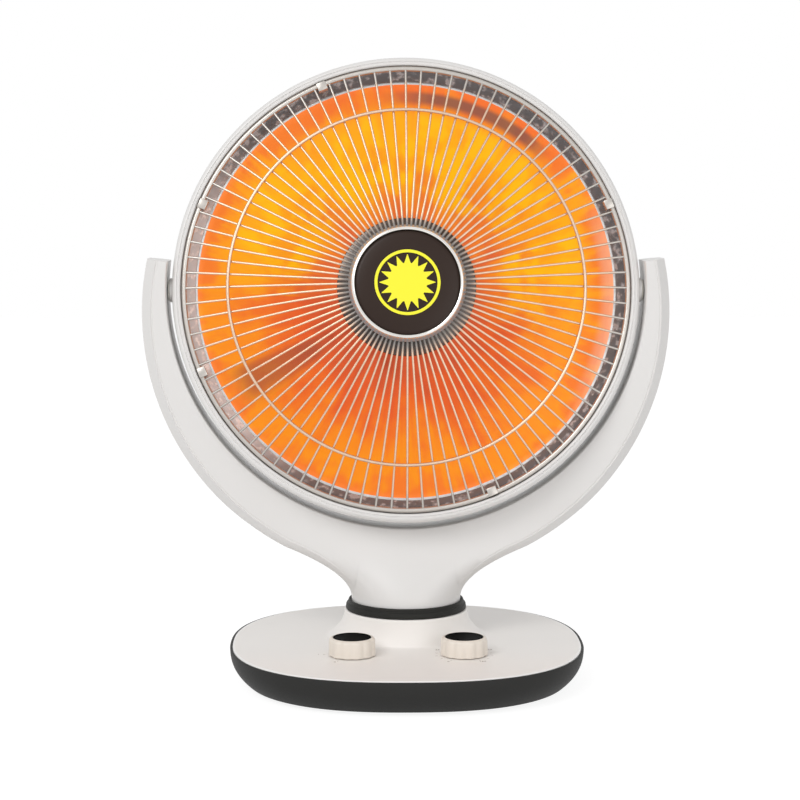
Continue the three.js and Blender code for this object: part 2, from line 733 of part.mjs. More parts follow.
function driveLever() {
  const top = LINK_UNDERSIDE - OPEN_PIVOT_CLEARANCE;
  const foot = top - LEVER_THICKNESS;
  const hub = post(0, SWIVEL_Y, foot, top, POST_RADIUS + LEVER_HUB_WALL, 20);
  const end = post(leverPin.x, leverPin.y, foot, top, LINK_EYE_RADIUS, 12);
  const pin = post(leverPin.x, leverPin.y, foot, LINK_TOP + LEVER_PIN_PROUD, DRIVE_PIN_RADIUS, 12);
  const bore = post(0, SWIVEL_Y, foot - 1, top + 1, POST_RADIUS + GAP, 24);
  return joined([hub, end, pin]).subtract(bore);
}

function linkRod() {
  const eyes = [leverPin, crankPin].map((pin) =>
    post(pin.x, pin.y, LINK_UNDERSIDE, LINK_TOP, LINK_EYE_RADIUS, 14),
  );
  const along = crankPin.clone().sub(leverPin);
  const length = along.length();
  const strip = new THREE.BoxGeometry(length, LINK_EYE_RADIUS * 1.3, LINK_THICKNESS);
  strip.rotateZ(Math.atan2(along.y, along.x));
  const middle = leverPin.clone().add(crankPin).multiplyScalar(0.5);
  strip.translate(middle.x, middle.y, (LINK_UNDERSIDE + LINK_TOP) / 2);
  const bore = post(leverPin.x, leverPin.y, 0, LINK_TOP + 1, DRIVE_PIN_RADIUS + RUN, 12);
  return joined([solidOf(strip), ...eyes]).subtract(bore);
}

// The crank disc with its pin, its hub and the shaft that goes down into the motor.
function driveCrank() {
  const top = LINK_UNDERSIDE - 2 * OPEN_PIVOT_CLEARANCE;
  const foot = top - CRANK_THICKNESS;
  const motorTop = PAN_FLOOR + GAP + MOTOR_HEIGHT;
  const disc = post(MOTOR_X, MOTOR_Y, foot, top, CRANK_THROW + CRANK_MARGIN, 20);
  const hub = post(MOTOR_X, MOTOR_Y, motorTop + GAP, foot + 1, MOTOR_SHAFT_RADIUS + 2.5, 12);
  const shaft = post(MOTOR_X, MOTOR_Y, motorTop - CRANK_SHAFT_DEPTH, foot + 1, MOTOR_SHAFT_RADIUS, 10);
  const pinTop = LINK_UNDERSIDE - OPEN_PIVOT_CLEARANCE;
  const pin = post(crankPin.x, crankPin.y, foot, pinTop, DRIVE_PIN_RADIUS, 12);
  return joined([disc, hub, shaft, pin]);
}

// ---------------------------------------------------------------- yoke

// Half the yoke's width at a height from the tilt axis.
function yokeHalfWidth(z, inset) {
  if (z >= FLARE_TOP) {
    const share = (z + ARM_ARC_DROP) / (ARM_B - inset);
    return (ARM_A - inset) * Math.sqrt(1 - share * share);
  }
  const flareHalf = yokeHalfWidth(FLARE_TOP, 0);
  const climb = Math.max(0, (z - FLARE_FOOT) / FLARE_HEIGHT);
  return NECK_RADIUS - inset + (flareHalf - NECK_RADIUS) * climb ** FLARE_POWER;
}

// How round the section is at a height: 0 on the flat-faced arms, 1 at the neck's foot.
function swell(z) {
  const top = FLARE_TOP + SWELL_ABOVE;
  const share = Math.min(1, Math.max(0, (top - z) / (top - FLARE_FOOT)));
  return share * share * (3 - 2 * share);
}

// How far the front or rear face stands from the parting plane.
function yokeDepth(x, z, edge, inset) {
  const round = swell(z);
  const half = yokeHalfWidth(Math.max(z, YOKE_FOOT), inset);
  const deep = mix(ARM_DEPTH / 2, NECK_RADIUS, round) - inset;
  const power = mix(ARM_SQUARENESS, 2, round);
  const share = Math.min(1, Math.abs(x) / half);
  const bulge = deep * (1 - share ** power) ** (1 / power);
  const bevel = Math.max(0, 1 - edge / CHAMFER_WIDTH) * CHAMFER_DEPTH;
  return Math.max(mix(ARM_DEPTH / 2 - inset - bevel, bulge, round), 2 * GAP);
}

const ARC_STEPS = 9;

// The outer contour of the right half, from the arm's top down to the middle of the foot.
function yokeContour(inset, foot) {
  const drop = (z) => Math.asin((z + ARM_ARC_DROP) / (ARM_B - inset));
  const [start, end] = [drop(ARM_TOP - inset), drop(FLARE_TOP)];
  const arc = range(ARC_STEPS + 1).map((i) => {
    const z = (ARM_B - inset) * Math.sin(mix(start, end, i / ARC_STEPS)) - ARM_ARC_DROP;
    return [yokeHalfWidth(z, inset), z];
  });
  const flare = [0.7, 0.4, 0.15].map((share) => {
    const z = mix(FLARE_FOOT, FLARE_TOP, share);
    return [yokeHalfWidth(z, inset), z];
  });
  const edge = NECK_RADIUS - inset;
  const bottom = [1, 0.8, 0.45, 0].map((share) => [edge * share, foot]);
  return [...arc, ...flare, [edge, FLARE_FOOT], ...bottom];
}

// One half of the yoke as a solid: side is -1 for the front half and 1 for the rear half.
function yokeHalf(side, inset) {
  const foot = inset ? YOKE_FOOT - 1 : YOKE_FOOT;
  const right = yokeContour(inset, foot);
  const left = right.slice(0, -1).map(([x, z]) => [-x, z]);
  const inner = ARM_INNER + inset;
  const parting = inset ? -1 : GAP / 2;
  const shares = [0, 0.5, 1];
  const rings = [...left, ...right.toReversed()].map(([x, z]) => {
    const reach = Math.hypot(x, z);
    const [ux, uz] = [x / reach, z / reach];
    const flat = 1 - CHAMFER_WIDTH / (reach - inner);
    const stops = [...shares.map((s) => s * flat), mix(flat, 1, 0.7), 1];
    const skin = stops.map((stop) => {
      const r = mix(inner, reach, stop);
      const depth = yokeDepth(r * ux, r * uz, reach - r, inset);
      return vector(r * ux, side * depth, r * uz);
    });
    const back = [vector(x, side * parting, z), vector(inner * ux, side * parting, inner * uz)];
    return [...skin, ...back];
  });
  return loft(rings);
}

const yokeScrewPlaces = [-1, 1].map((way) => [way * YOKE_SCREW_X, -YOKE_SCREW_DROP]);

function pivotBolt(side, radius) {
  const start = RING_OUTER - RING_BAND + SKIN;
  const seat = ARM_INNER + SKIN + GAP;
  const shank = bar(vector(side * start, 0, 0), vector(side * (seat + 1), 0, 0), radius, 12);
  const headEnd = vector(side * (seat + BOLT_HEAD_LENGTH), 0, 0);
  return shank.add(bar(vector(side * seat, 0, 0), headEnd, BOLT_HEAD_RADIUS, 6));
}

function yokeShell(side) {
  const outside = yokeHalf(side, 0);
  let shell = outside.subtract(yokeHalf(side, SKIN));
  for (const [x, z] of yokeScrewPlaces) {
    const from = vector(x, (side * GAP) / 2, z);
    const boss = bar(from, vector(x, side * 2 * ARM_DEPTH, z), SCREW_HEAD_RADIUS + SKIN, 12);
    shell = shell.add(boss.intersect(outside));
    const through = side > 0 ? 2 * ARM_DEPTH : ARM_DEPTH / 2;
    shell = shell.subtract(bar(vector(x, 0, z), vector(x, side * through, z), SCREW_RADIUS + RUN, 8));
    if (side > 0) {
      const seat = vector(x, YOKE_SCREW_SEAT, z);
      const away = vector(x, 2 * ARM_DEPTH, z);
      shell = shell.subtract(bar(seat, away, SCREW_HEAD_RADIUS + RUN, 12));
    }
  }
  for (const way of [-1, 1]) {
    const [near, far] = [ARM_INNER - 2, ARM_INNER + SKIN + 1].map((x) => vector(way * x, 0, 0));
    shell = shell.subtract(bar(near, far, BOLT_RADIUS + RUN, 12));
  }
  return shell;
}

function frictionWasher(side) {
  const near = RING_OUTER + PIVOT_BOSS_PROUD + GAP;
  const [from, to] = [near, near + WASHER_THICKNESS].map((x) => vector(side * x, 0, 0));
  const [before, after] = [near - 1, near + 2].map((x) => vector(side * x, 0, 0));
  return bar(from, to, WASHER_RADIUS, 18).subtract(bar(before, after, BOLT_RADIUS + RUN, 12));
}

// The hollow post: a flange under the neck and a tube down through the bearing.
function swivelPost() {
  const flange = POST_FLANGE_UNDER - PIVOT_Z;
  const foot = LINK_UNDERSIDE - 2 * OPEN_PIVOT_CLEARANCE - LEVER_THICKNESS - PIVOT_Z;
  const grooveTop = MOUND_TOP - BUSH_LENGTH - GAP - PIVOT_Z;
  const grooveFoot = grooveTop - CLIP_THICKNESS - GAP;
  const top = flange + POST_FLANGE_THICKNESS;
  const rim = NECK_RADIUS - SKIN - POST_FLANGE_CLEARANCE;
  const profile = [
    [POST_BORE, top],
    [POST_BORE, foot],
    [POST_RADIUS, foot],
    [POST_RADIUS, grooveFoot],
    [POST_RADIUS - CLIP_GROOVE, grooveFoot],
    [POST_RADIUS - CLIP_GROOVE, grooveTop],
    [POST_RADIUS, grooveTop],
    [POST_RADIUS, flange],
    [rim, flange],
    [rim, top],
  ];
  return turned(closed(profile), 20);
}

// The open spring clip in the post's groove, under the bearing.
function postClip() {
  const top = MOUND_TOP - BUSH_LENGTH - GAP - 0.15 - PIVOT_Z;
  const foot = top - CLIP_THICKNESS;
  const inner = POST_RADIUS - CLIP_GROOVE + GAP;
  const ring = post(0, 0, foot, top, POST_RADIUS + CLIP_WIDTH, 20);
  const mouth = block(vector(-6, 0, foot - 1), vector(6, -2 * POST_RADIUS, top + 1));
  return ring.subtract(post(0, 0, foot - 1, top + 1, inner, 20)).subtract(mouth);
}

// The lead lies along the inner wall of the left arm and turns down through the post.
function yokeLead() {
  const r = ARM_INNER + SKIN + LEAD_RADIUS + 3 * GAP;
  const along = [-4, -12, -22, -32, -42, -52, -62, -72].map((degrees) => {
    const angle = THREE.MathUtils.degToRad(180 - degrees);
    return vector(r * Math.cos(angle), 0, r * Math.sin(angle));
  });
  const bore = POST_BORE - LEAD_RADIUS - GAP;
  const turn = [vector(-bore - LEAD_BEND_REACH, 0, YOKE_FOOT + LEAD_BEND_START)];
  const drop = [0, 0.35, 0.65, 1].map((share) =>
    vector(-bore, 0, YOKE_FOOT + mix(LEAD_BEND_END, -LEAD_TAIL, share)),
  );
  const curve = new THREE.CatmullRomCurve3([...along, ...turn, ...drop]);
  return tube(curve, LEAD_RADIUS, 8, 24);
}

function yokeGroup(head) {
  const group = new THREE.Group();
  group.position.set(0, SWIVEL_Y, PIVOT_Z);
  group.add(piece("yoke_front", yokeShell(-1), whitePlastic));
  group.add(piece("yoke_rear", yokeShell(1), whitePlastic));
  yokeScrewPlaces.forEach(([x, z], i) => {
    const length = YOKE_SCREW_SEAT + ARM_DEPTH / 2 - 3;
    const fixing = piece("yoke_screw_" + (i + 1), screw(length), steel);
    fixing.position.set(x, YOKE_SCREW_SEAT + GAP, z);
    fixing.rotation.x = Math.PI / 2;
    group.add(fixing);
  });
  for (const [side, name] of [[-1, "left"], [1, "right"]]) {
    group.add(piece("pivot_bolt_" + name, pivotBolt(side, BOLT_RADIUS), steel));
    group.add(piece("friction_washer_" + name, frictionWasher(side), nylon));
  }
  group.add(piece("swivel_post", swivelPost(), nylon));
  group.add(piece("post_clip", postClip(), steel));
  const lever = piece("drive_lever", driveLever(), steel);
  lever.position.set(0, -SWIVEL_Y, -PIVOT_Z);
  group.add(lever);
  group.add(piece("yoke_lead", yokeLead(), rubber));
  group.add(head);
  return group;
}

// ---------------------------------------------------------------- head

const BOSS_INNER = SHELL_SCREW_RADIUS_AT - 5;

function aroundAxis(degrees, radius) {
  const angle = THREE.MathUtils.degToRad(degrees);
  return [radius * Math.cos(angle), radius * Math.sin(angle)];
}

function frontRing() {
  const nose = RING_NOSE_AHEAD;
  const profile = [
    [RING_OUTER, -RING_BACK],
    [RING_OUTER, nose - RING_NOSE_ROUND],
    [RING_OUTER - RING_NOSE_FLAT / 3, nose - RING_NOSE_ROUND / 3],
    [RING_OUTER - RING_NOSE_FLAT, nose],
    [RING_INNER + RING_NOSE_FLAT / 4, nose - GAP],
    [RING_INNER, nose - RING_LIP],
    [RING_INNER + SKIN, nose - RING_LIP],
    [RING_INNER + SKIN + GAP, nose - SKIN - RING_NOSE_ROUND / 3],
    [RING_OUTER - SKIN, nose - SKIN - RING_NOSE_ROUND / 1.5],
    [RING_OUTER - SKIN, -RING_BACK],
  ];
  let ring = dished(closed(profile), 44);
  for (const side of [-1, 1]) {
    const place = (x) => vector(side * x, 0, 0);
    const outer = RING_OUTER + PIVOT_BOSS_PROUD;
    ring = ring.add(bar(place(RING_INNER + SKIN / 3), place(outer), PIVOT_BOSS_RADIUS, 14));
    ring = ring.subtract(bar(place(RING_INNER - SKIN), place(outer + 1), BOLT_RADIUS + RUN, 12));
  }
  for (const degrees of SHELL_SCREW_ANGLES) {
    const [x, z] = aroundAxis(degrees, SHELL_SCREW_RADIUS_AT);
    const place = (ahead) => vector(x, -ahead, z);
    const radius = SHELL_SCREW_RADIUS_AT - BOSS_INNER;
    ring = ring.add(bar(place(-RING_BACK), place(REFLECTOR_RIM_AHEAD + 4), radius, 8));
    ring = ring.subtract(bar(place(-RING_BACK - 1), place(REFLECTOR_RIM_AHEAD), SCREW_RADIUS + RUN, 6));
  }
  return ring;
}

const DOME_STEPS = 4;

function rearShell() {
  const start = -RING_BACK - GAP;
  const dome = (inset) =>
    range(DOME_STEPS + 1).map((i) => {
      const angle = (Math.PI / 2) * (i / DOME_STEPS);
      const radius = REAR_FLAT_RADIUS + (RING_OUTER - REAR_FLAT_RADIUS - inset) * Math.cos(angle);
      return [radius, start - (REAR_DEPTH - inset) * Math.sin(angle)];
    });
  const profile = [...dome(0), [0, start - REAR_DEPTH]];
  const inside = [[0, start - REAR_DEPTH + SKIN], ...dome(SKIN).toReversed()];
  let shell = dished([...profile, ...inside, profile[0]]);
  for (let i = 0; i < VENT_COUNT; i++) {
    const slot = new THREE.BoxGeometry(VENT_OUTER_RADIUS - VENT_INNER_RADIUS, REAR_DEPTH, VENT_WIDTH);
    slot.translate((VENT_OUTER_RADIUS + VENT_INNER_RADIUS) / 2, -start + 0.9 * REAR_DEPTH, 0);
    slot.rotateY((2 * Math.PI * (i + 0.5)) / VENT_COUNT);
    shell = shell.subtract(solidOf(slot));
  }
  const outside = dished([...profile, [0, start], profile[0]]);
  for (const degrees of SHELL_SCREW_ANGLES) {
    const [x, z] = aroundAxis(degrees, SHELL_SCREW_RADIUS_AT);
    const place = (ahead) => vector(x, -ahead, z);
    const seat = start - 2 * SKIN;
    const boss = bar(place(start), place(start - REAR_DEPTH / 2), SCREW_HEAD_RADIUS + SKIN, 12);
    shell = shell.add(boss.intersect(outside));
    shell = shell.subtract(bar(place(seat), place(start - REAR_DEPTH), SCREW_HEAD_RADIUS + RUN, 12));
    shell = shell.subtract(bar(place(start + 1), place(seat - 1), SCREW_RADIUS + RUN, 8));
  }
  return shell;
}

// The dish's front face: a paraboloid through the rim.
const dishAhead = (r) => REFLECTOR_VERTEX + REFLECTOR_DEPTH * (r / REFLECTOR_RADIUS) ** 2;

function reflector() {
  const radii = [0, 0.15, 0.4, 0.7, 1].map((s) => mix(REFLECTOR_HOLE, REFLECTOR_RADIUS, s));
  const front = radii.map((r) => [r, dishAhead(r)]);
  const back = radii.map((r) => [r, dishAhead(r) - SHEET]);
  const edge = REFLECTOR_RADIUS + REFLECTOR_FLANGE;
  const flange = [
    [edge, REFLECTOR_RIM_AHEAD],
    [edge, REFLECTOR_RIM_AHEAD - SHEET],
  ];
  return dished(closed([...front, ...flange, ...back.toReversed()]));
}

const TRIM_FOOT = REFLECTOR_RIM_AHEAD + GAP;
const TRIM_START = REFLECTOR_RADIUS + 0.6;

function trimRing() {
  const slopeEnd = REFLECTOR_RADIUS + TRIM_WIDTH + 1.2;
  const edge = RING_INNER - 2 * GAP;
  const top = TRIM_FOOT + TRIM_RISE;
  const profile = [
    [TRIM_START, TRIM_FOOT],
    [TRIM_START + 1, TRIM_FOOT],
    [slopeEnd, top],
    [edge, top],
    [edge, top + SHEET],
    [slopeEnd - 0.4, top + SHEET],
    [TRIM_START, TRIM_FOOT + 1.1],
  ];
  return dished(closed(profile));
}

// How far ahead the guard's wires stand at a radius.
function guardAhead(r) {
  const share = Math.max(0, (r - HUB_RING_RADIUS) / (RIM_RADIUS - HUB_RING_RADIUS));
  return RIM_AHEAD + GUARD_RISE * (1 - share ** GUARD_DOME_POWER);
}

function wireRing(radius, wireRadius, ahead, sides, steps) {
  const geometry = new THREE.TorusGeometry(radius, wireRadius, sides, steps);
  geometry.rotateZ(Math.PI / steps);
  geometry.rotateX(Math.PI / 2);
  geometry.translate(0, -ahead, 0);
  return solidOf(geometry);
}

function radialWire(index) {
  const stops = [0, 0.35, 0.7, 1].map((share) => {
    const r = mix(RIM_RADIUS, HUB_RING_RADIUS, share);
    const along = vector(r, 0, 0).applyAxisAngle(vector(0, 1, 0), -index * WIRE_STEP);
    return along.setY(-guardAhead(r));
  });
  return tube(new THREE.CatmullRomCurve3(stops), WIRE_RADIUS, 3, 2);
}

function wireGuard() {
  const rim = wireRing(RIM_RADIUS, RIM_WIRE_RADIUS, RIM_AHEAD, 5, WIRE_COUNT / 2);
  const hub = wireRing(HUB_RING_RADIUS, HUB_WIRE_RADIUS, guardAhead(HUB_RING_RADIUS), 4, WIRE_COUNT / 2);
  return joined([rim, hub, ...range(WIRE_COUNT).map(radialWire)]);
}

function guardMidRing() {
  const ahead = guardAhead(MID_RING_RADIUS) + WIRE_RADIUS + MID_WIRE_RADIUS + GAP;
  return wireRing(MID_RING_RADIUS, MID_WIRE_RADIUS, ahead, 4, 44);
}

// A small hook: a leg on the trim ring, turned over the front of the guard's rim.
function guardClip() {
  const rimFront = RIM_AHEAD + RIM_WIRE_RADIUS + GAP;
  const inner = RIM_RADIUS - RIM_WIRE_RADIUS - GAP - GUARD_CLIP_THICKNESS - 0.6;
  const legEnd = inner + GUARD_CLIP_THICKNESS;
  const slope = (TRIM_RISE + SHEET - 1.1) / (TRIM_WIDTH + 0.2);
  const foot = TRIM_FOOT + 1.1 + slope * (legEnd - TRIM_START) + 3 * GAP;
  const half = GUARD_CLIP_WIDTH / 2;
  const top = rimFront + GUARD_CLIP_THICKNESS;
  const leg = block(vector(inner, -top, -half), vector(legEnd, -foot, half));
  const hook = block(vector(inner, -top, -half), vector(RIM_RADIUS + 1.7, -rimFront, half));
  return leg.add(hook);
}

function hubBezel() {
  const foot = guardAhead(HUB_RING_RADIUS) + HUB_WIRE_RADIUS + GAP;
  const inner = BADGE_RADIUS + GAP;
  const profile = [
    [inner, foot],
    [inner + BEZEL_FLARE + 1.6, foot],
    [inner + BEZEL_FLARE + 1.2, foot + 1.6],
    [inner + 2.2, BEZEL_AHEAD - 0.6],
    [inner + 1.2, BEZEL_AHEAD],
    [inner, BEZEL_AHEAD - 0.4],
  ];
  return dished(closed(profile), 32);
}

// The dark cup that snaps into the guard's hub ring.
function hubBadge() {
  const ringBack = guardAhead(HUB_RING_RADIUS) - HUB_WIRE_RADIUS - GAP;
  const lip = BADGE_RADIUS + 2.4;
  const inner = BADGE_RADIUS - BADGE_WALL;
  const profile = [
    [0, BADGE_FACE_AHEAD],
    [EMBLEM_RADIUS + 2, BADGE_FACE_AHEAD],
    [BADGE_RADIUS, BADGE_FACE_AHEAD - 1.2],
    [BADGE_RADIUS, ringBack],
    [lip, ringBack],
    [lip - 1, ringBack - 1.8],
    [inner, ringBack - 1.8],
    [inner, BADGE_FACE_AHEAD - BADGE_WALL - 1.2],
    [0, BADGE_FACE_AHEAD - BADGE_WALL - 1.2],
  ];
  return dished(profile, 28);
}

// A plain sun: a disc with short rays.
function badgeEmblem() {
  const sun = new THREE.Shape();
  const points = EMBLEM_RAYS * 2;
  for (let i = 0; i < points; i++) {
    const r = i % 2 ? EMBLEM_RADIUS * 0.72 : EMBLEM_RADIUS;
    const angle = (2 * Math.PI * i) / points;
    if (i) sun.lineTo(r * Math.cos(angle), r * Math.sin(angle));
    else sun.moveTo(r, 0);
  }
  const options = { depth: EMBLEM_THICKNESS, bevelEnabled: false };
  const geometry = new THREE.ExtrudeGeometry(sun, options);
  geometry.rotateX(Math.PI / 2);
  geometry.translate(0, -BADGE_FACE_AHEAD - GAP, 0);
  return solidOf(geometry);
}

function elementSocket() {
  const back = REFLECTOR_VERTEX - 1.2;
  const neck = REFLECTOR_HOLE - GAP;
  const profile = [
    [0, back - 5],
    [SOCKET_FLANGE_RADIUS, back - 5],
    [SOCKET_FLANGE_RADIUS, back + dishAhead(SOCKET_FLANGE_RADIUS) - dishAhead(REFLECTOR_HOLE)],
    [REFLECTOR_HOLE + 1, back + 0.9],
    [neck, back + 1.2],
    [neck, REFLECTOR_VERTEX + 3.4],
    [CORE_FLANGE_RADIUS, SOCKET_TOP],
    [0, SOCKET_TOP],
  ];
  return dished(profile, 24);
}

function elementCore() {
  const profile = [
    [0, CORE_FOOT],
    [CORE_FLANGE_RADIUS, CORE_FOOT],
    [CORE_FLANGE_RADIUS, CORE_FOOT + CORE_FLANGE_THICKNESS],
    [CORE_RADIUS, CORE_FOOT + CORE_FLANGE_THICKNESS],
    [CORE_RADIUS, CORE_TOP - CORE_FLANGE_THICKNESS],
    [CORE_FLANGE_RADIUS, CORE_TOP - CORE_FLANGE_THICKNESS],
    [CORE_FLANGE_RADIUS, CORE_TOP],
    [0, CORE_TOP],
  ];
  return dished(profile, 20);
}

// The winding's centre line: a straight end at each flange, and the turns between them.
class Winding extends THREE.Curve {
  constructor() {
    super();
    this.radius = CORE_RADIUS + COIL_WIRE_RADIUS + COIL_CLEARANCE;
    this.low = CORE_FOOT + CORE_FLANGE_THICKNESS + GAP;
    this.high = CORE_TOP - CORE_FLANGE_THICKNESS - GAP;
    this.tail = 2 * COIL_WIRE_RADIUS;
    this.turnsLength = COIL_TURNS * 2 * Math.PI * this.radius;
    this.length = this.turnsLength + 2 * this.tail;
  }

  getPoint(share, target = vector(0, 0, 0)) {
    const run = share * this.length;
    const wound = Math.min(1, Math.max(0, (run - this.tail) / this.turnsLength));
    const angle = 2 * Math.PI * COIL_TURNS * wound;
    const climb = mix(this.low + this.tail, this.high - this.tail, wound);
    const start = Math.min(0, run - this.tail);
    const end = Math.max(0, run - this.tail - this.turnsLength);
    const ahead = climb + start + end;
    return target.set(this.radius * Math.cos(angle), -ahead, this.radius * Math.sin(angle));
  }
}

// The least gap between stretches of the winding that are half a turn or more apart.
function leastGap(curve, samples) {
  const points = curve.getPoints(samples);
  const apart = Math.ceil(samples / COIL_TURNS / 2);
  let least = Infinity;
  for (let i = 0; i < samples; i++) {
    for (let j = i + apart; j <= samples; j++) {
      least = Math.min(least, points[i].distanceTo(points[j]));
    }
  }
  return least - 2 * COIL_WIRE_RADIUS;
}

function heatingCoil() {
  const winding = new Winding();
  console.log("heating coil, least gap to itself: " + leastGap(winding, 400).toFixed(2) + " mm");
  return tube(winding, COIL_WIRE_RADIUS, 5, COIL_TURNS * 12);
}

// The domed cap ahead of the element, on its own short post.
function elementShield() {
  const foot = CORE_TOP + GAP;
  const crown = SHIELD_RIM_AHEAD + SHIELD_DOME;
  const dome = (r) => crown - SHIELD_DOME * (r / SHIELD_RADIUS) ** 2;
  const radii = [1, 0.7, 0.4];
  const front = radii.map((s) => [SHIELD_RADIUS * s, dome(SHIELD_RADIUS * s)]);
  const back = radii
    .filter((s) => SHIELD_RADIUS * s > SHIELD_POST_RADIUS)
    .map((s) => [SHIELD_RADIUS * s - 0.2, dome(SHIELD_RADIUS * s) - SHEET]);
  const profile = [
    [0, foot],
    [SHIELD_POST_RADIUS, foot],
    [SHIELD_POST_RADIUS, dome(SHIELD_POST_RADIUS) - SHEET],
    ...back.toReversed(),
    [SHIELD_RADIUS - SHEET, SHIELD_RIM_AHEAD - 3],
    [SHIELD_RADIUS, SHIELD_RIM_AHEAD - 3],
    ...front,
    [0, crown],
  ];
  return dished(profile, 28);
}

function thermalCutout() {
  const [width, depth, height] = CUTOUT_SIZE;
  const near = dishAhead(CUTOUT_OFFSET - width / 2) - SHEET;
  return block(
    vector(CUTOUT_OFFSET - width / 2, -near, -height / 2),
    vector(CUTOUT_OFFSET + width / 2, -near + depth, height / 2),
  );
}

function headGroup() {
  const group = new THREE.Group();
  group.rotation.x = -THREE.MathUtils.degToRad(TILT_BACK);
  group.add(piece("front_ring", frontRing(), whitePlastic));
  group.add(piece("rear_shell", rearShell(), whitePlastic));
  SHELL_SCREW_ANGLES.forEach((degrees, i) => {
    const [x, z] = aroundAxis(degrees, SHELL_SCREW_RADIUS_AT);
    const seat = -RING_BACK - GAP - 2 * SKIN;
    const fixing = piece("shell_screw_" + (i + 1), screw(SHELL_SCREW_LENGTH), steel);
    fixing.position.set(x, -seat + GAP, z);
    fixing.rotation.x = Math.PI / 2;
    group.add(fixing);
  });
  group.add(piece("reflector", reflector(), orangeReflector));
  group.add(piece("trim_ring", trimRing(), chrome));
  group.add(piece("wire_guard", wireGuard(), guardWire));
  group.add(piece("guard_mid_ring", guardMidRing(), guardWire));
  CLIP_STEPS.forEach((step, i) => {
    const clip = piece("guard_clip_" + (i + 1), guardClip(), steel);
    clip.rotation.y = -step * WIRE_STEP;
    group.add(clip);
  });
  group.add(piece("hub_bezel", hubBezel(), chrome));
  group.add(piece("hub_badge", hubBadge(), brownPlastic));
  group.add(piece("badge_emblem", badgeEmblem(), yellowPrint));
  group.add(piece("element_socket", elementSocket(), ceramic));
  group.add(piece("element_core", elementCore(), ceramic));
  group.add(piece("heating_coil", heatingCoil(), glowingWire));
  group.add(piece("element_shield", elementShield(), chrome));
  group.add(piece("thermal_cutout", thermalCutout(), blackPlastic));
  return group;
}

// ---------------------------------------------------------------- the heater

const heater = new THREE.Group();
heater.add(baseGroup());
heater.add(knobGroup("power_knob", -KNOB_X));
heater.add(knobGroup("timer_knob", KNOB_X));
heater.add(piece("drive_crank", driveCrank(), steel));
heater.add(piece("link_rod", linkRod(), steel));
heater.add(yokeGroup(headGroup()));

export default heater;
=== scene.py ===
import math

import bmesh
import bpy
from mathutils import Matrix, Vector


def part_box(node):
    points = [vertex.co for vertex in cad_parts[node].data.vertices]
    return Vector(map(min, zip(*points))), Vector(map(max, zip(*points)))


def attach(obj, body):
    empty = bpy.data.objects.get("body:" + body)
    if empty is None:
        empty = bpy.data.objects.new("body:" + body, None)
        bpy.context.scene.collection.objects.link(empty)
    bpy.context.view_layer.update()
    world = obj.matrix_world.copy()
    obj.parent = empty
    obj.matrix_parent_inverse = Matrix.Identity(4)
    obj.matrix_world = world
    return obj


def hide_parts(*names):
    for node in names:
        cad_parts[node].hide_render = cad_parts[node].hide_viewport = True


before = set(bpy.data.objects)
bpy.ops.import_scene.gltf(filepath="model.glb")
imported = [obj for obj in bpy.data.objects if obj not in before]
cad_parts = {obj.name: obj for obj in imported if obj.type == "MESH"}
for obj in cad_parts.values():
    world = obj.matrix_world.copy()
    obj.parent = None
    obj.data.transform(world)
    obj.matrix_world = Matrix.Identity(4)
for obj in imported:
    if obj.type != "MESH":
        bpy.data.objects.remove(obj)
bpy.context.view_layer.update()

# ------------------------------------------------------------------ camera, floor and light
# The view is the photograph's: a long lens a little above the dish, from just left of the middle.
# The floor and backdrop are plain and white, and two large soft lamps add to an even studio light.
scene = bpy.context.scene
scene.view_settings.view_transform = "Standard"


def linked(name, data):
    """A new object in the scene, at the origin."""
    made = bpy.data.objects.new(name, data)
    scene.collection.objects.link(made)
    return made


def tone(code):
    """The linear colour of an sRGB hex value."""
    parts = [int(code[i : i + 2], 16) / 255 for i in (0, 2, 4)]
    return [c / 12.92 if c <= 0.04045 else ((c + 0.055) / 1.055) ** 2.4 for c in parts] + [1.0]


def feed(node, sockets):
    """Gives each socket of a node its value, or the nodes or outputs that feed it."""
    for key, value in sockets.items():
        sources = value if isinstance(value, list) else [value]
        sources = [s.outputs[0] if isinstance(s, bpy.types.Node) else s for s in sources]
        if isinstance(sources[0], bpy.types.NodeSocket):
            for source in sources:
                node.id_data.links.new(source, node.inputs[key])
        else:
            node.inputs[key].default_value = value


def add(tree, kind, sockets=None, **settings):
    """A node with its settings, its values and its links."""
    made = tree.nodes.new(kind)
    for key, value in settings.items():
        setattr(made, key, value)
    feed(made, sockets or {})
    return made


def seen(tree, *kinds):
    """1 for rays of these kinds, and 0 for all others."""
    rays = add(tree, "ShaderNodeLightPath").outputs
    mask = rays[kinds[0]]
    for kind in kinds[1:]:
        mask = add(tree, "ShaderNodeMath", {0: mask, 1: rays[kind]}, operation="MAXIMUM")
    return mask


camera = linked("camera", bpy.data.cameras.new("camera"))
camera.data.sensor_width = 36
camera.data.lens = 91.25
camera.location = (-0.035, -1.4978, 0.3703)
camera.rotation_euler = (math.radians(83.83), 0, math.radians(-1.15))
scene.camera = camera

BACKDROP_WHITE = 1.0
ROOM_LEVEL = 0.54  # what the room gives matt surfaces, beside the lamps
world = bpy.data.worlds.new("white studio")
world.use_nodes = True
scene.world = world
room = world.node_tree
room.nodes.clear()
mirrored = seen(room, "Is Camera Ray", "Is Glossy Ray", "Is Transmission Ray")
level = add(room, "ShaderNodeMapRange", {"Value": mirrored, "To Min": ROOM_LEVEL, "To Max": BACKDROP_WHITE})
sky = add(room, "ShaderNodeBackground", {"Color": tone("ffffff"), "Strength": level})
add(room, "ShaderNodeOutputWorld", {"Surface": sky})

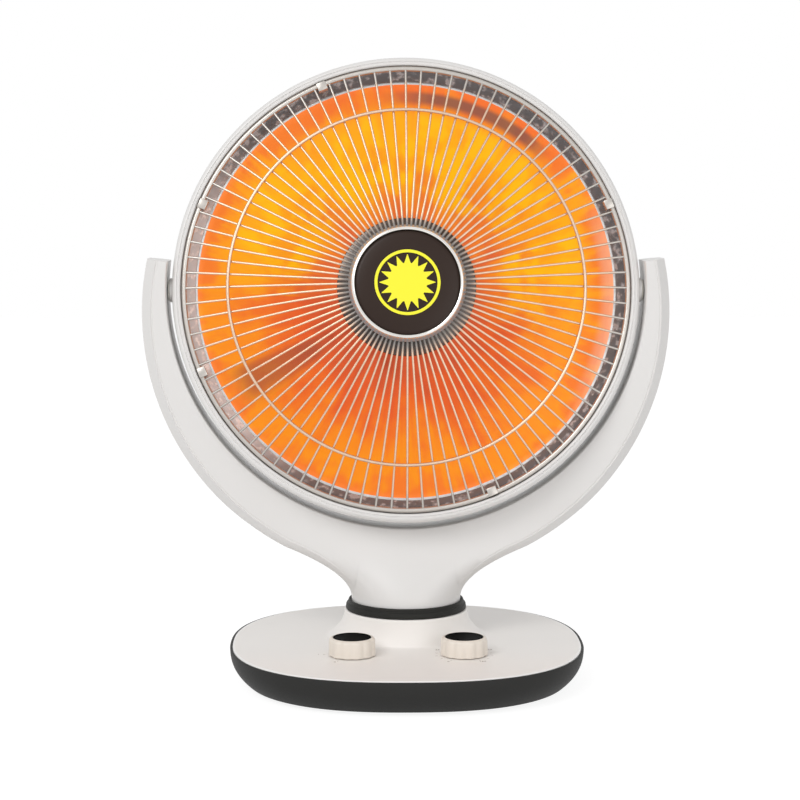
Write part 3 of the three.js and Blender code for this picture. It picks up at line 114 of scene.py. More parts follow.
LAMP_AIM = Vector((0, 0, 0.25))
for name, spot, size, power in (
    ("key lamp", (-1.3, -2.0, 1.9), 1.4, 30),
    ("fill lamp", (1.1, -2.0, 0.35), 1.6, 11),
):
    lamp = linked(name, bpy.data.lights.new(name, "AREA"))
    lamp.data.size = size
    lamp.data.energy = power
    lamp.location = spot
    lamp.rotation_euler = (LAMP_AIM - Vector(spot)).to_track_quat("-Z", "Y").to_euler()

FLOOR_HALF, FLOOR_DROP = 4.0, 0.0004
# The paper glows for the camera and in mirrors alone, and the share of it that stays matt keeps the shadow.
PAPER_GLOW, GLOW_SHARE = 1.25, 0.7
corners = [(x * FLOOR_HALF, y * FLOOR_HALF, -FLOOR_DROP) for x, y in ((-1, -1), (1, -1), (1, 1), (-1, 1))]
floor_mesh = bpy.data.meshes.new("floor")
floor_mesh.from_pydata(corners, [], [(0, 1, 2, 3)])
floor = linked("floor", floor_mesh)
paper = bpy.data.materials.new("white backdrop paper")
paper.use_nodes = True
sheet = paper.node_tree
sheet.nodes.clear()
direct = seen(sheet, "Is Camera Ray", "Is Glossy Ray")
share = add(sheet, "ShaderNodeMath", {0: direct, 1: GLOW_SHARE}, operation="MULTIPLY")
matt = add(sheet, "ShaderNodeBsdfDiffuse", {"Color": tone("fafafa")})
glow = add(sheet, "ShaderNodeEmission", {"Color": tone("ffffff"), "Strength": PAPER_GLOW})
both = add(sheet, "ShaderNodeMixShader", {0: share, 1: matt, 2: glow})
add(sheet, "ShaderNodeOutputMaterial", {"Surface": both})
floor_mesh.materials.append(paper)

# ------------------------------------------------------------------ base pan
# The tray that the heater stands on: ABS moulded in dark grey with a fine matt texture. Its wall
# curves in towards the floor, its lip holds the cover, and four wells in it take the screws.
HALF_WIDTH, HALF_DEPTH = 132.0, 131.0
OUTLINE_POWER = 2.4
PAN_FOOT, PAN_TOP = 2.0, 26.4
PAN_TUCK, PAN_TUCK_POWER = 12.5, 2.4
WALL = 2.2
PAN_FLOOR = PAN_FOOT + WALL
LEDGE = 24.3
SCREW_BORE, SCREW_WELL, SCREW_POST = 1.9, 3.5, 5.4
FOOT_BORE, LEAD_BORE = 3.3, 6.3
SCREW_PLACES = [(i * 92.0, j * 60.0) for i in (-1, 1) for j in (-1, 1)]
FOOT_PLACES = [(i * 72.0, j * 72.0) for i in (-1, 1) for j in (-1, 1)]
PLUNGER_PLACE = (-62, 34)
BASE = Matrix.Scale(0.001, 4)
ROUND = 192  # points round the large turned and moulded shapes


def at(x, y, z=0.0):
    """A place in the base's frame, in millimetres."""
    return Matrix.Translation((x / 1000, y / 1000, z / 1000)) @ BASE


def circle(radius, z, count=ROUND, y=0.0):
    """A ring of points round the Z axis, or round a line behind it."""
    turns = [2 * math.pi * i / count for i in range(count)]
    return [(radius * math.cos(a), y + radius * math.sin(a), z) for a in turns]


def base_outline(inset, z):
    """The base's outline, drawn in by an inset, as one ring of points."""
    ring = []
    for c, s, _ in circle(1, z):
        x = (HALF_WIDTH - inset) * math.copysign(abs(c) ** (2 / OUTLINE_POWER), c)
        y = (HALF_DEPTH - inset) * math.copysign(abs(s) ** (2 / OUTLINE_POWER), s)
        ring.append((x, y, z))
    return ring


def smoothed(mesh, angle=38):
    """Smooth shading that keeps the edges sharper than the angle."""
    mesh.shade_smooth()
    mesh.set_sharp_from_angle(angle=math.radians(angle))
    return mesh


def surface(name, rings, place, loop=False):
    """A closed mesh through rings of points in millimetres, in which a ring of one point is a pole."""
    shape = bmesh.new()
    rows = [[shape.verts.new(place @ Vector(point)) for point in ring] for ring in rings]
    pairs = list(zip(rows, rows[1:] + rows[:1]))
    for low, high in pairs if loop else pairs[:-1]:
        count = max(len(low), len(high))
        for i in range(count):
            j = (i + 1) % count
            around = [low[i % len(low)], low[j % len(low)], high[j % len(high)], high[i % len(high)]]
            shape.faces.new(list(dict.fromkeys(around)))
    bmesh.ops.recalc_face_normals(shape, faces=shape.faces)
    mesh = bpy.data.meshes.new(name)
    shape.to_mesh(mesh)
    shape.free()
    return smoothed(mesh)


def spun(name, profile, place, sides=ROUND, loop=False):
    """A mesh turned about the place's Z axis from a profile of (radius, height)."""
    return surface(name, [circle(r, h, sides) if r else [(0, 0, h)] for r, h in profile], place, loop)


def softened(profile, radius, loop=False, steps=4):
    """The profile with its corners rounded by up to a radius."""
    out = []
    count = len(profile)
    for i, point in enumerate(profile):
        here = Vector(point)
        if not loop and i in (0, count - 1):
            out.append(point)
            continue
        before, after = Vector(profile[i - 1]) - here, Vector(profile[(i + 1) % count]) - here
        cut = min(radius, 0.45 * before.length, 0.45 * after.length)
        start, end = here + before.normalized() * cut, here + after.normalized() * cut
        for k in range(steps + 1):
            t = k / steps
            out.append(tuple(start * (1 - t) ** 2 + here * 2 * t * (1 - t) + end * t * t))
    return out


def drums(places, radius, low, high):
    """Plain round bars along the places' Z axes, to cut or join with."""
    profile = [(0, low), (radius, low), (radius, high), (0, high)]
    return [spun("drum", profile, place, 32) for place in places]


def together(name, meshes):
    """Several meshes as one."""
    shape = bmesh.new()
    for mesh in meshes:
        shape.from_mesh(mesh)
    made = bpy.data.meshes.new(name)
    shape.to_mesh(made)
    shape.free()
    return made


def evaluated_mesh(carrier, *others):
    """A plain mesh of what an object's modifiers make, after which the objects used are removed."""
    depsgraph = bpy.context.evaluated_depsgraph_get()
    made = bpy.data.meshes.new_from_object(carrier.evaluated_get(depsgraph))
    for used in (carrier, *others):
        bpy.data.objects.remove(used)
    return made


def carved(mesh, tools, operation="DIFFERENCE"):
    """The mesh with solids cut away from it, or joined to it."""
    body = linked("carved body", mesh)
    cutters = [linked("cutter", tool) for tool in tools]
    for cutter in cutters:
        step = body.modifiers.new("cut", "BOOLEAN")
        step.operation = operation
        step.solver = "MANIFOLD"
        step.object = cutter
    return smoothed(evaluated_mesh(body, *cutters))


def show(name, mesh, body, material, slot, *nodes):
    """A finished piece: its finish, the body it rides on and the nodes it stands for."""
    piece = linked(name, mesh)
    mesh.materials.clear()
    mesh.materials.append(material)
    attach(piece, body)
    if nodes:
        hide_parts(*nodes)
    return piece


def new_finish(name):
    """A new material, with its tree and its shader."""
    material = bpy.data.materials.new(name)
    material.use_nodes = True
    return material, material.node_tree, material.node_tree.nodes["Principled BSDF"]


def layered(tree, base, *layers):
    """A colour, and others laid over it where their masks say. A colour is a hex value or an output."""
    for colour, mask in layers:
        under, over = [tone(c) if isinstance(c, str) else c for c in (base, colour)]
        base = add(tree, "ShaderNodeMix", {0: mask, 6: under, 7: over}, data_type="RGBA").outputs[2]
    return base


def moulded_plastic(name, colour, roughness, grain, relief, drift=0.03, ior=1.53, specular=0.5):
    """ABS from a textured mould. The texture's spacing and height are in millimetres: its grain breaks
    up the highlights, and a slow drift of shade follows how the plastic flowed."""
    material, tree, shader = new_finish(name)
    place = add(tree, "ShaderNodeTexCoord").outputs["Object"]
    flow = add(tree, "ShaderNodeTexNoise", {"Vector": place, "Scale": 11.0, "Detail": 3.0})
    low, high = [[min(1, c * (1 + way * drift)) for c in tone(colour)[:3]] + [1] for way in (-1, 1)]
    fine = add(tree, "ShaderNodeTexNoise", {"Vector": place, "Scale": 1000 / grain, "Detail": 2.0})
    sheen = add(tree, "ShaderNodeMapRange", {"Value": fine, "From Min": 0.3, "From Max": 0.7})
    feed(sheen, {"To Min": roughness - 0.05, "To Max": roughness + 0.05})
    bump = add(tree, "ShaderNodeBump", {"Height": fine, "Strength": 0.5, "Distance": relief / 1000})
    feed(shader, {"Base Color": layered(tree, low, (high, flow)), "Roughness": sheen, "Normal": bump})
    feed(shader, {"IOR": ior, "Specular IOR Level": specular})
    return material


def tuck(z):
    """How far the pan's wall is drawn in at a height."""
    return PAN_TUCK * (1 - (z - PAN_FOOT) / (PAN_TOP - PAN_FOOT)) ** PAN_TUCK_POWER


wall_heights = [PAN_FOOT + 0.5 + (PAN_TOP - PAN_FOOT - 1.0) * (i / 20) ** 1.4 for i in range(21)]
section = [(PAN_TUCK + 1.2, PAN_FOOT), (PAN_TUCK + 0.3, PAN_FOOT + 0.15), *((tuck(z), z) for z in wall_heights)]
section += [(0.1, 26.15), (0.35, 26.35), (0.7, PAN_TOP), (1.2, PAN_TOP), (1.6, 26.2)]
section += [(1.6, LEDGE), (4.2, LEDGE), (4.2, 22.1), (WALL + tuck(19.9), 19.9)]
section += [(WALL + tuck(z), z) for z in (15.0, 10.0, 7.0, PAN_FLOOR)]
pan_rings = [[(0, 0, PAN_FOOT)], *(base_outline(inset, z) for inset, z in section), [(0, 0, PAN_FLOOR)]]
screw_spots, foot_spots = [[at(x, y) for x, y in places] for places in (SCREW_PLACES, FOOT_PLACES)]
inlet = Matrix.Translation((-0.038, 0, 0.0145)) @ Matrix.Rotation(math.radians(-90), 4, "X") @ BASE
pan = surface("pan", pan_rings, BASE)
pan = carved(pan, drums(screw_spots, SCREW_POST, PAN_FOOT + 0.1, 7.2), "UNION")
holes = drums(screw_spots, SCREW_WELL, -1, 5.0) + drums(screw_spots, SCREW_BORE, -1, 30)
holes += drums([*foot_spots, at(*PLUNGER_PLACE)], FOOT_BORE, -1, 30)
pan = carved(pan, holes + drums([inlet], LEAD_BORE, 90, 140))
matt_grey_abs = moulded_plastic("matt grey textured ABS", "2f2f2e", 0.6, 0.9, 0.05, specular=0.15)
show("base_pan_moulded", pan, "base", matt_grey_abs, "base_grey", "base_pan")

# ------------------------------------------------------------------ feet, base screws and lead inlet
# Four black rubber feet snap into the pan's floor, four cross-recessed zinc-plated screws go up
# through it into the cover, and a black nylon sleeve in its rear wall takes the mains lead.


def numbered(name, count):
    """The names of nodes that are numbered from 1."""
    return [f"{name}_{i + 1}" for i in range(count)]


foot_profile = [(0, 0), (6.6, 0), (8, 0.5), (8, 1.7), (3, 1.7), (3, 6.2), (0, 6.2)]
feet = [spun("foot", softened(foot_profile, 0.35), spot, 48) for spot in foot_spots]
black_rubber = moulded_plastic("black moulded rubber", "262626", 0.82, 1.4, 0.08)
show("rubber_feet", together("feet", feet), "base", black_rubber, "rubber", *numbered("rubber_foot", 4))


def growing(name, sizes):
    """An empty Geometry Nodes tree with an input for each size, and what its inputs give."""
    tree = bpy.data.node_groups.new(name, "GeometryNodeTree")
    tree.interface.new_socket("Geometry", in_out="INPUT", socket_type="NodeSocketGeometry")
    for label, size in sizes.items():
        kind = "NodeSocketInt" if isinstance(size, int) else "NodeSocketFloat"
        tree.interface.new_socket(label, in_out="INPUT", socket_type=kind)
    tree.interface.new_socket("Geometry", in_out="OUTPUT", socket_type="NodeSocketGeometry")
    return tree, tree.nodes.new("NodeGroupInput").outputs


def ended(tree, grown, material):
    """The last nodes of a tree: the instances made real, with their material."""
    real = add(tree, "GeometryNodeRealizeInstances", {"Geometry": grown})
    painted = add(tree, "GeometryNodeSetMaterial", {"Geometry": real, "Material": material})
    add(tree, "NodeGroupOutput", {"Geometry": painted})


def grown_mesh(tree, sizes, place, seed=((0, 0, 0),)):
    """The mesh that a tree makes from a mesh or some points in millimetres, set in its place."""
    if not isinstance(seed, bpy.types.Mesh):
        points = bpy.data.meshes.new("points")
        points.from_pydata(seed, [], [])
        seed = points
    carrier = linked("carrier", seed)
    grower = carrier.modifiers.new("grow", "NODES")
    grower.node_group = tree
    for socket in tree.interface.items_tree:
        if socket.in_out == "INPUT" and socket.name in sizes:
            grower[socket.identifier] = sizes[socket.name]
    made = evaluated_mesh(carrier)
    made.transform(place)
    return smoothed(made)


def times(tree, *values):
    """The product of some numbers, outputs and nodes."""
    made = values[0]
    for value in values[1:]:
        made = add(tree, "ShaderNodeMath", {0: made, 1: value}, operation="MULTIPLY")
    return made


def moved(tree, shape, **axes):
    """A shape of a tree moved along its axes."""
    spot = add(tree, "ShaderNodeCombineXYZ", axes)
    return add(tree, "GeometryNodeTransform", {"Geometry": shape, "Translation": spot})


def zinc_plate(name, colour="a8aaad", roughness=0.34):
    """Steel with a thin bright zinc plating: grey, with faint streaks from rolling."""
    material, tree, shader = new_finish(name)
    place = add(tree, "ShaderNodeTexCoord").outputs["Object"]
    drawn = add(tree, "ShaderNodeMapping", {"Vector": place, "Scale": (1, 12, 1)})
    streak = add(tree, "ShaderNodeTexNoise", {"Vector": drawn, "Scale": 320.0, "Detail": 3.0})
    full = tone(colour)
    low = [c * 0.88 for c in full[:3]] + [1]
    sheen = add(tree, "ShaderNodeMapRange", {"Value": streak})
    feed(sheen, {"To Min": roughness - 0.08, "To Max": roughness + 0.1})
    feed(shader, {"Base Color": layered(tree, low, (full, streak)), "Metallic": 1.0, "Roughness": sheen})
    return material


zinc_screws = zinc_plate("zinc-plated screw steel")
SCREW = {"Head radius": 3.2, "Head height": 2.0, "Shank radius": 1.6, "Shank length": 1.0, "Recess depth": 1.1}
screw_tree, given = growing("cross-recessed screws", SCREW)
tree = screw_tree
head_cone = add(tree, "GeometryNodeMeshCone", {"Vertices": 32, "Depth": given["Head height"]})
feed(head_cone, {"Radius Top": times(tree, given["Head radius"], 0.72), "Radius Bottom": given["Head radius"]})
head_down = add(tree, "GeometryNodeTransform", {"Geometry": head_cone, "Rotation": (math.pi, 0, 0)})
arms = []
for turn in (0, math.pi / 2):
    arm = add(tree, "GeometryNodeMeshCube", {"Size": (3.4, 0.7, 1.0)})
    arms.append(add(tree, "GeometryNodeTransform", {"Geometry": arm, "Rotation": (0, 0, turn)}))
cross = add(tree, "GeometryNodeJoinGeometry", {0: arms})
sunk = add(tree, "ShaderNodeMath", {0: given["Recess depth"], 1: 0.5}, operation="ADD")
recess_z = {0: times(tree, given["Head height"], -1.0), 1: sunk}
recess = moved(tree, cross, Z=add(tree, "ShaderNodeMath", recess_z, operation="ADD"))
pair = {"Mesh 1": head_down, "Mesh 2": recess}
recessed = add(tree, "GeometryNodeMeshBoolean", pair, operation="DIFFERENCE", solver="EXACT")
shank = {"Vertices": 20, "Radius": given["Shank radius"], "Depth": given["Shank length"]}
shank = add(tree, "GeometryNodeMeshCylinder", shank)
shank_up = moved(tree, shank, Z=times(tree, given["Shank length"], 0.5))
one_screw = add(tree, "GeometryNodeJoinGeometry", {0: [recessed, shank_up]})
screws = add(tree, "GeometryNodeInstanceOnPoints", {"Points": given["Geometry"], "Instance": one_screw})
ended(tree, screws, zinc_screws)


def screw_set(name, length, place, points, body, *nodes):
    """Screws with their heads' bearing faces on some points and their shanks along the place's Z axis."""
    mesh = grown_mesh(screw_tree, SCREW | {"Shank length": float(length)}, place, points)
    show(name, mesh, body, zinc_screws, "zinc_steel", *nodes)


seats = [(x, y, 4.7) for x, y in SCREW_PLACES]
screw_set("base_screws", 17.6, BASE, seats, "base", *numbered("base_screw", 4))

_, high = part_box("cord_gland")
end = high.y * 1000
sleeve = [(3.6, end - 16), (8, end - 16), (8, end - 12), (6, end - 12), (6, end), (4.6, end), (3.6, end - 1.4)]
gland = spun("gland", softened(sleeve, 0.4, True), inlet, 48, True)
black_nylon = moulded_plastic("black moulded nylon", "1a1a1a", 0.42, 0.8, 0.03)
show("lead_inlet", gland, "base", black_nylon, "black_plastic", "cord_gland")

# ------------------------------------------------------------------ base cover
# The pale lid of the base: ABS with a satin surface, a softly rounded rim and a mound that rises to
# the collar. Two holes let the shafts of the controls through.
COVER_TOP, COVER_UNDER = 27.0, 24.6
MOUND_TOP, MOUND_HEIGHT = 47.3, 20.3
MOUND_RADIUS = 46.6
SIDE_SPREAD, FRONT_SPREAD = 13.0, 4.0
COVER_WALL = 2.4
SWIVEL_Y = 20.0
BORE, SHAFT_BORE = 14.6, 5.1
KNOB_PLACES = {"power": (-40.8, -50.0), "timer": (40.8, -50.0)}


def mound_ring(climb, inset, top, lift=0.0):
    """One ring of the mound, from its foot at climb 0 to its top at 1."""
    spread = (1 - climb) ** 2.2
    ring = []
    for c, s, _ in circle(1, 0):
        x = (MOUND_RADIUS - inset + SIDE_SPREAD * spread) * c
        y = (MOUND_RADIUS - inset + FRONT_SPREAD * spread) * s
        ring.append((x, SWIVEL_Y + y, top - MOUND_HEIGHT * (1 - climb) + lift))
    return ring


rim = ((1.9, COVER_UNDER), (1.9, 26.1), (2.0, 26.5), (2.3, 26.8), (2.7, 26.95), (3.2, COVER_TOP))
brow = [(MOUND_RADIUS - inset, MOUND_TOP - drop) for inset, drop in ((0.05, 0.7), (0.3, 0.25), (0.8, 0))]
mouth = [*brow, (BORE, MOUND_TOP), (BORE, MOUND_TOP - COVER_WALL)]
cover_rings = [base_outline(inset, z) for inset, z in rim]
cover_rings += [mound_ring(0, inset, MOUND_TOP, lift) for inset, lift in ((-2.2, 0), (-1.2, 0.12), (-0.5, 0.4))]
cover_rings += [mound_ring(0.04 + 0.9 * (i / 16), 0, MOUND_TOP) for i in range(17)]
cover_rings += [circle(radius, z, y=SWIVEL_Y) for radius, z in mouth]
cover_rings += [mound_ring(climb, COVER_WALL, MOUND_TOP - COVER_WALL) for climb in (1, 0.7, 0.4, 0.15, 0)]
cover = surface("cover", cover_rings, BASE, loop=True)
cover = carved(cover, drums([at(x, y) for x, y in KNOB_PLACES.values()], SHAFT_BORE, 20, 30))
# The rounded rim is painted a shade lighter than the flat: a painted highlight along the edge.
pale_abs = moulded_plastic("satin pale ABS", "f4f0ec", 0.42, 0.7, 0.015)
tree = pale_abs.node_tree
shader = tree.nodes["Principled BSDF"]
spot = add(tree, "ShaderNodeSeparateXYZ", {0: add(tree, "ShaderNodeTexCoord").outputs["Object"]})
reach = []
for axis, half in (("X", HALF_WIDTH), ("Y", HALF_DEPTH)):
    far = add(tree, "ShaderNodeMath", {0: spot.outputs[axis]}, operation="ABSOLUTE")
    near = {0: times(tree, far, 1000 / half), 1: OUTLINE_POWER}
    reach.append(add(tree, "ShaderNodeMath", near, operation="POWER"))
outward = add(tree, "ShaderNodeMath", {0: reach[0], 1: reach[1]}, operation="ADD")
# Painted highlight: the colour turns lighter where the outline rounds over.
painted_rim_highlight = add(tree, "ShaderNodeMapRange", {"Value": outward, "From Min": 0.93, "From Max": 0.95})
moulded = shader.inputs["Base Color"].links[0].from_socket
feed(shader, {"Base Color": layered(tree, moulded, ("fbfaf8", painted_rim_highlight))})
show("base_cover_moulded", cover, "base", pale_abs, "white_shell", "base_cover")

# ------------------------------------------------------------------ dial marks
# Fine ticks and plain numbers, pad-printed on the cover in grey round the two controls: three heat
# steps beside the left knob and minutes beside the right one.
INK_HEIGHT = COVER_TOP + 0.04
print_grey = moulded_plastic("grey pad print", "a79c95", 0.6, 0.5, 0.01)


def set_round(tree, piece, count, turn):
    """Copies of a piece, each turned about the Z axis."""
    spin = add(tree, "ShaderNodeCombineXYZ", {"Z": turn})
    copies = {"Points": add(tree, "GeometryNodePoints", {"Count": count}), "Instance": piece, "Rotation": spin}
    return add(tree, "GeometryNodeInstanceOnPoints", copies)


TICKS = {"Count": 3, "First angle": math.radians(-120), "Step": 0.5}
TICKS |= {"Radius": 20.6, "Length": 1.8, "Width": 0.35}
tick_tree, given = growing("dial ticks", TICKS)
tree = tick_tree
tick_turn = {0: times(tree, add(tree, "GeometryNodeInputIndex"), given["Step"]), 1: given["First angle"]}
tick_turn = add(tree, "ShaderNodeMath", tick_turn, operation="ADD")
tick_size = add(tree, "ShaderNodeCombineXYZ", {"X": given["Length"], "Y": given["Width"], "Z": 0.08})
tick = moved(tree, add(tree, "GeometryNodeMeshCube", {"Size": tick_size}), X=given["Radius"])
ended(tree, set_round(tree, tick, given["Count"], tick_turn), print_grey)


def printed(text, size, x, y):
    """A number as a thin printed layer on the cover."""
    letters = bpy.data.curves.new("number", "FONT")
    letters.body = text
    letters.size = size
    letters.extrude = 0.04
    letters.align_x = "CENTER"
    letters.align_y = "CENTER"
    mesh = evaluated_mesh(linked("number", letters))
    mesh.transform(at(x, y, INK_HEIGHT))
    return mesh


for control, count, sweep, numbers in (
    ("power", 3, -135.0, ("0", "1", "2")),
    ("timer", 13, -300.0, ("0", "60", "120", "180")),
):
    x, y = KNOB_PLACES[control]
    sizes = TICKS | {"Count": count, "Step": math.radians(sweep) / (count - 1)}
    marks = [grown_mesh(tick_tree, sizes, at(x, y, INK_HEIGHT))]
    for i, number in enumerate(numbers):
        angle = TICKS["First angle"] + math.radians(sweep) * i / (len(numbers) - 1)
        marks.append(printed(number, 3.4, x + 24.6 * math.cos(angle), y + 24.2 * math.sin(angle)))
    show(control + "_dial_marks", together("marks", marks), "base", print_grey, "knob_cream")

# ------------------------------------------------------------------ control knobs
# Two cream ABS knobs with twelve shallow flutes, each on its shaft, and a smooth black cap set into
# the top of each.
KNOB_RADIUS, FLUTES, FLUTE_DEPTH = 17.4, 12, 0.75
KNOB_LOW, KNOB_HIGH = 27.6, 40.5
SHAFT_RADIUS, SHAFT_FOOT = 3, 16.3
CAP_RADIUS, CAP_FLOOR = 13.8, 38.8


def fluted(radius, z):
    """One ring of a knob's grip."""
    ring = []
    for i in range(ROUND):
        a = 2 * math.pi * i / ROUND
        r = radius - FLUTE_DEPTH * (0.5 + 0.5 * math.cos(FLUTES * a)) ** 1.6
        ring.append((r * math.cos(a), r * math.sin(a), z))
    return ring


cream_abs = moulded_plastic("satin cream ABS", "e9e0d5", 0.42, 0.6, 0.012)
black_abs = moulded_plastic("smooth black ABS", "050505", 0.35, 0.6, 0.004, ior=1.03)
grip = [(0.8, KNOB_LOW), (0.2, KNOB_LOW + 0.2), (0, KNOB_LOW + 0.8), (0.3, 37.9), (0.45, 38.6)]
grip += [(0.9, 39.5), (1.6, 40.15), (2.4, KNOB_HIGH)]
cap = [(0, 39.1), (CAP_RADIUS, 39.1), (CAP_RADIUS, 40.5), (CAP_RADIUS - 0.5, 40.8)]
cap += [(CAP_RADIUS - 1.2, 40.8), (CAP_RADIUS - 1.7, 40.55), (0, 40.45)]
pointer = softened([(0, 40.4), (0.9, 40.4), (0.9, 40.75), (0, 40.75)], 0.2)
for control, (x, y) in KNOB_PLACES.items():
    body = control + "_control"
    rings = [[(0, 0, SHAFT_FOOT)], circle(SHAFT_RADIUS, SHAFT_FOOT), circle(SHAFT_RADIUS, KNOB_LOW)]
    rings += [fluted(KNOB_RADIUS - inset, z) for inset, z in grip]
    rings += [circle(CAP_RADIUS + 0.4, KNOB_HIGH), circle(CAP_RADIUS + 0.3, CAP_FLOOR), [(0, 0, CAP_FLOOR)]]
    knob = surface("knob", rings, at(x, y))
    show(control + "_knob_grip", knob, body, cream_abs, "knob_cream", control + "_knob")
    lid = [spun("cap", softened(cap, 0.25), at(x, y), 96), spun("pip", pointer, at(x - 5.2, y - 9.0), 24)]
    show(control + "_knob_lid", together("lid", lid), body, black_abs, "black_plastic", control + "_knob_cap")

# ------------------------------------------------------------------ collar and swivel
# A dark grey collar screwed down on the mound, with a step under its top edge. Inside it a nylon
# bush carries the hollow post of the yoke, and a spring clip under the mound keeps the post in.
COLLAR_FOOT, COLLAR_INNER = 47.6, 42.1
collar = [(COLLAR_INNER, COLLAR_FOOT), (45.4, COLLAR_FOOT), (45.8, 48.4), (45.4, 51.2), (44.9, 51.9)]
collar += [(43.9, 52.2), (43.7, 52.7), (43.7, 54.3), (43.1, 55.0), (COLLAR_INNER, 55.0)]
collar = spun("collar", softened(collar, 0.35, True), at(0, SWIVEL_Y), loop=True)
satin_grey_abs = moulded_plastic("satin grey ABS", "2e2e2c", 0.5, 0.8, 0.02, ior=1.2)
show("collar_moulded", collar, "base", satin_grey_abs, "base_grey", "collar_ring")


def dress(material, *nodes):
    """Gives nodes whose shape is kept their finish."""
    for name in nodes:
        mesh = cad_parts[name].data
        mesh.materials.clear()
        mesh.materials.append(material)


natural_nylon = moulded_plastic("natural moulded nylon", "d9d6cc", 0.5, 0.9, 0.03)
spring_steel = zinc_plate("zinc-plated spring steel", "9ea1a6", 0.3)
dress(natural_nylon, "swivel_bearing", "swivel_post", "terminal_block", "tip_plunger")
dress(spring_steel, "post_clip")

# ------------------------------------------------------------------ inside the base
# Under the cover: the step switch and the timer below the knobs, a ballast plate, the swing motor
# with its crank, link and lever, the terminal block, and the switch that cuts out if it tips over.
black_phenolic = moulded_plastic("black phenolic moulding", "171616", 0.36, 1.1, 0.02)
galvanised = zinc_plate("galvanised sheet steel", "b2b4b5", 0.42)
plated_links = zinc_plate("plated pressed steel", "a9a7a0", 0.36)
dress(black_phenolic, "power_switch", "tip_switch_housing")
dress(galvanised, "timer_unit", "oscillation_motor", "ballast_plate")
dress(plated_links, "drive_crank", "link_rod", "drive_lever")

# ------------------------------------------------------------------ yoke
# Two satin white ABS half shells that meet on a fine parting line: flat-faced arms with a broad
# chamfer, which run into a round neck over the collar. Two screws from behind hold them together.
TILT_Z = 289.0
TILT_AXIS = Matrix.Translation((0, SWIVEL_Y / 1000, TILT_Z / 1000))
YOKE = TILT_AXIS @ BASE
ARM_INNER, ARM_A, ARM_B = 178.0, 196.5, 197.5
ARC_DROP, ARM_TOP = 18.0, 24.0
ARM_DEPTH = 36.0
CHAMFER_WIDTH, CHAMFER_DEPTH = 7.0, 8.0
LINE_IN = 8.0  # how far a fine moulded line runs inside the yoke's edge
LINE_DEPTH, PARTING_GAP = 0.5, 0.15
NECK_RADIUS = 41.3
FLARE_TOP, FLARE_FOOT, YOKE_FOOT = -193.0, -234.0, -237.0
FLARE_POWER = 2.03
SWELL_TOP = FLARE_TOP + 43.0
PIVOT_BORE = 3.3
YOKE_SCREWS = [(-52.0, -196.0), (52.0, -196.0)]


def blended(a, b, share):
    return a + (b - a) * share


def centre(ring):
    """The middle of a ring of points, as a ring of one point."""
    return [tuple(sum(point[k] for point in ring) / len(ring) for k in range(3))]


def arm_half(z, inset=0.0):
    """Half the yoke's width at a height from the tilt axis."""
    if z >= FLARE_TOP:
        share = (z + ARC_DROP) / (ARM_B - inset)
        return (ARM_A - inset) * math.sqrt(1 - share * share)
    flare = arm_half(FLARE_TOP)
    climb = max(0.0, (z - FLARE_FOOT) / (FLARE_TOP - FLARE_FOOT))
    return NECK_RADIUS - inset + (flare - NECK_RADIUS) * climb**FLARE_POWER


def roundness(z):
    """0 on the flat-faced arms, 1 at the neck's foot."""
    share = min(1.0, max(0.0, (SWELL_TOP - z) / (SWELL_TOP - FLARE_FOOT)))
    return share * share * (3 - 2 * share)


def face_depth(x, z, edge, inset):
    """How far a face stands from the parting plane."""
    swell = roundness(z)
    half = arm_half(max(z, YOKE_FOOT), inset)
    deep = blended(ARM_DEPTH / 2, NECK_RADIUS, swell) - inset
    power = blended(5.0, 2.0, swell)
    bulge = deep * (1 - min(1.0, abs(x) / half) ** power) ** (1 / power)
    bevel = max(0.0, 1 - edge / CHAMFER_WIDTH) * CHAMFER_DEPTH
    line = LINE_DEPTH * (1 - swell) if not inset and abs(edge - LINE_IN) < 0.45 else 0.0
    return max(blended(ARM_DEPTH / 2 - inset - bevel, bulge, swell) - line, 0.6)


def yoke_contour(inset, foot):
    """The outer contour of the right half, from the arm's top down to the middle of the foot."""
    start, end = [math.asin((z + ARC_DROP) / (ARM_B - inset)) for z in (ARM_TOP - inset, FLARE_TOP)]
    heights = [(ARM_B - inset) * math.sin(blended(start, end, i / 96)) - ARC_DROP for i in range(97)]
    heights += [blended(FLARE_TOP, FLARE_FOOT, i / 32) for i in range(1, 33)]
    edge = NECK_RADIUS - inset
    bottom = [(edge, foot)]
    bottom += [(edge * math.cos(math.radians(5 * i)), foot) for i in range(1, 18)]
    return [(arm_half(z, inset), z) for z in heights] + bottom + [(0.0, foot)]


def yoke_half(side, inset):
    """One half of the yoke as a solid: side -1 is the front and 1 the rear."""
    right = yoke_contour(inset, YOKE_FOOT - 1 if inset else YOKE_FOOT)
    outline = [(-x, z) for x, z in right[:-1]] + right[::-1]
    inner = ARM_INNER + inset
    parting = side * (-1.0 if inset else PARTING_GAP)
    rings = []
    for x, z in outline:
        reach = math.hypot(x, z)
        ux, uz = x / reach, z / reach
        flat = max(0.05, 1 - CHAMFER_WIDTH / (reach - inner))
        stops = [0.0] if inset else [0.0, 0.3 / (reach - inner), 0.8 / (reach - inner)]
        first = stops[-1]
        line = [1 - (LINE_IN + step) / (reach - inner) for step in (0.7, 0.44, -0.44, -0.7)]
        stops += [blended(first, line[0], i / 7) for i in range(1, 7)] + line + [flat]
        stops += [blended(flat, 1, share) for share in (0.08, 0.25, 0.45, 0.65, 0.82, 0.93, 1.0)]
        skin = []
        for i, stop in enumerate(stops):
            r = blended(inner, reach, stop)
            edge_round = (0.8, 0.25)[i] if i < 2 and not inset else 0.0
            depth = face_depth(r * ux, r * uz, reach - r, inset) - edge_round
            skin.append((r * ux, side * max(depth, 0.6), r * uz))
        rings.append([*skin, (x, parting, z), (inner * ux, parting, inner * uz)])
    return surface("yoke half", [centre(rings[0]), *rings, centre(rings[-1])], YOKE)


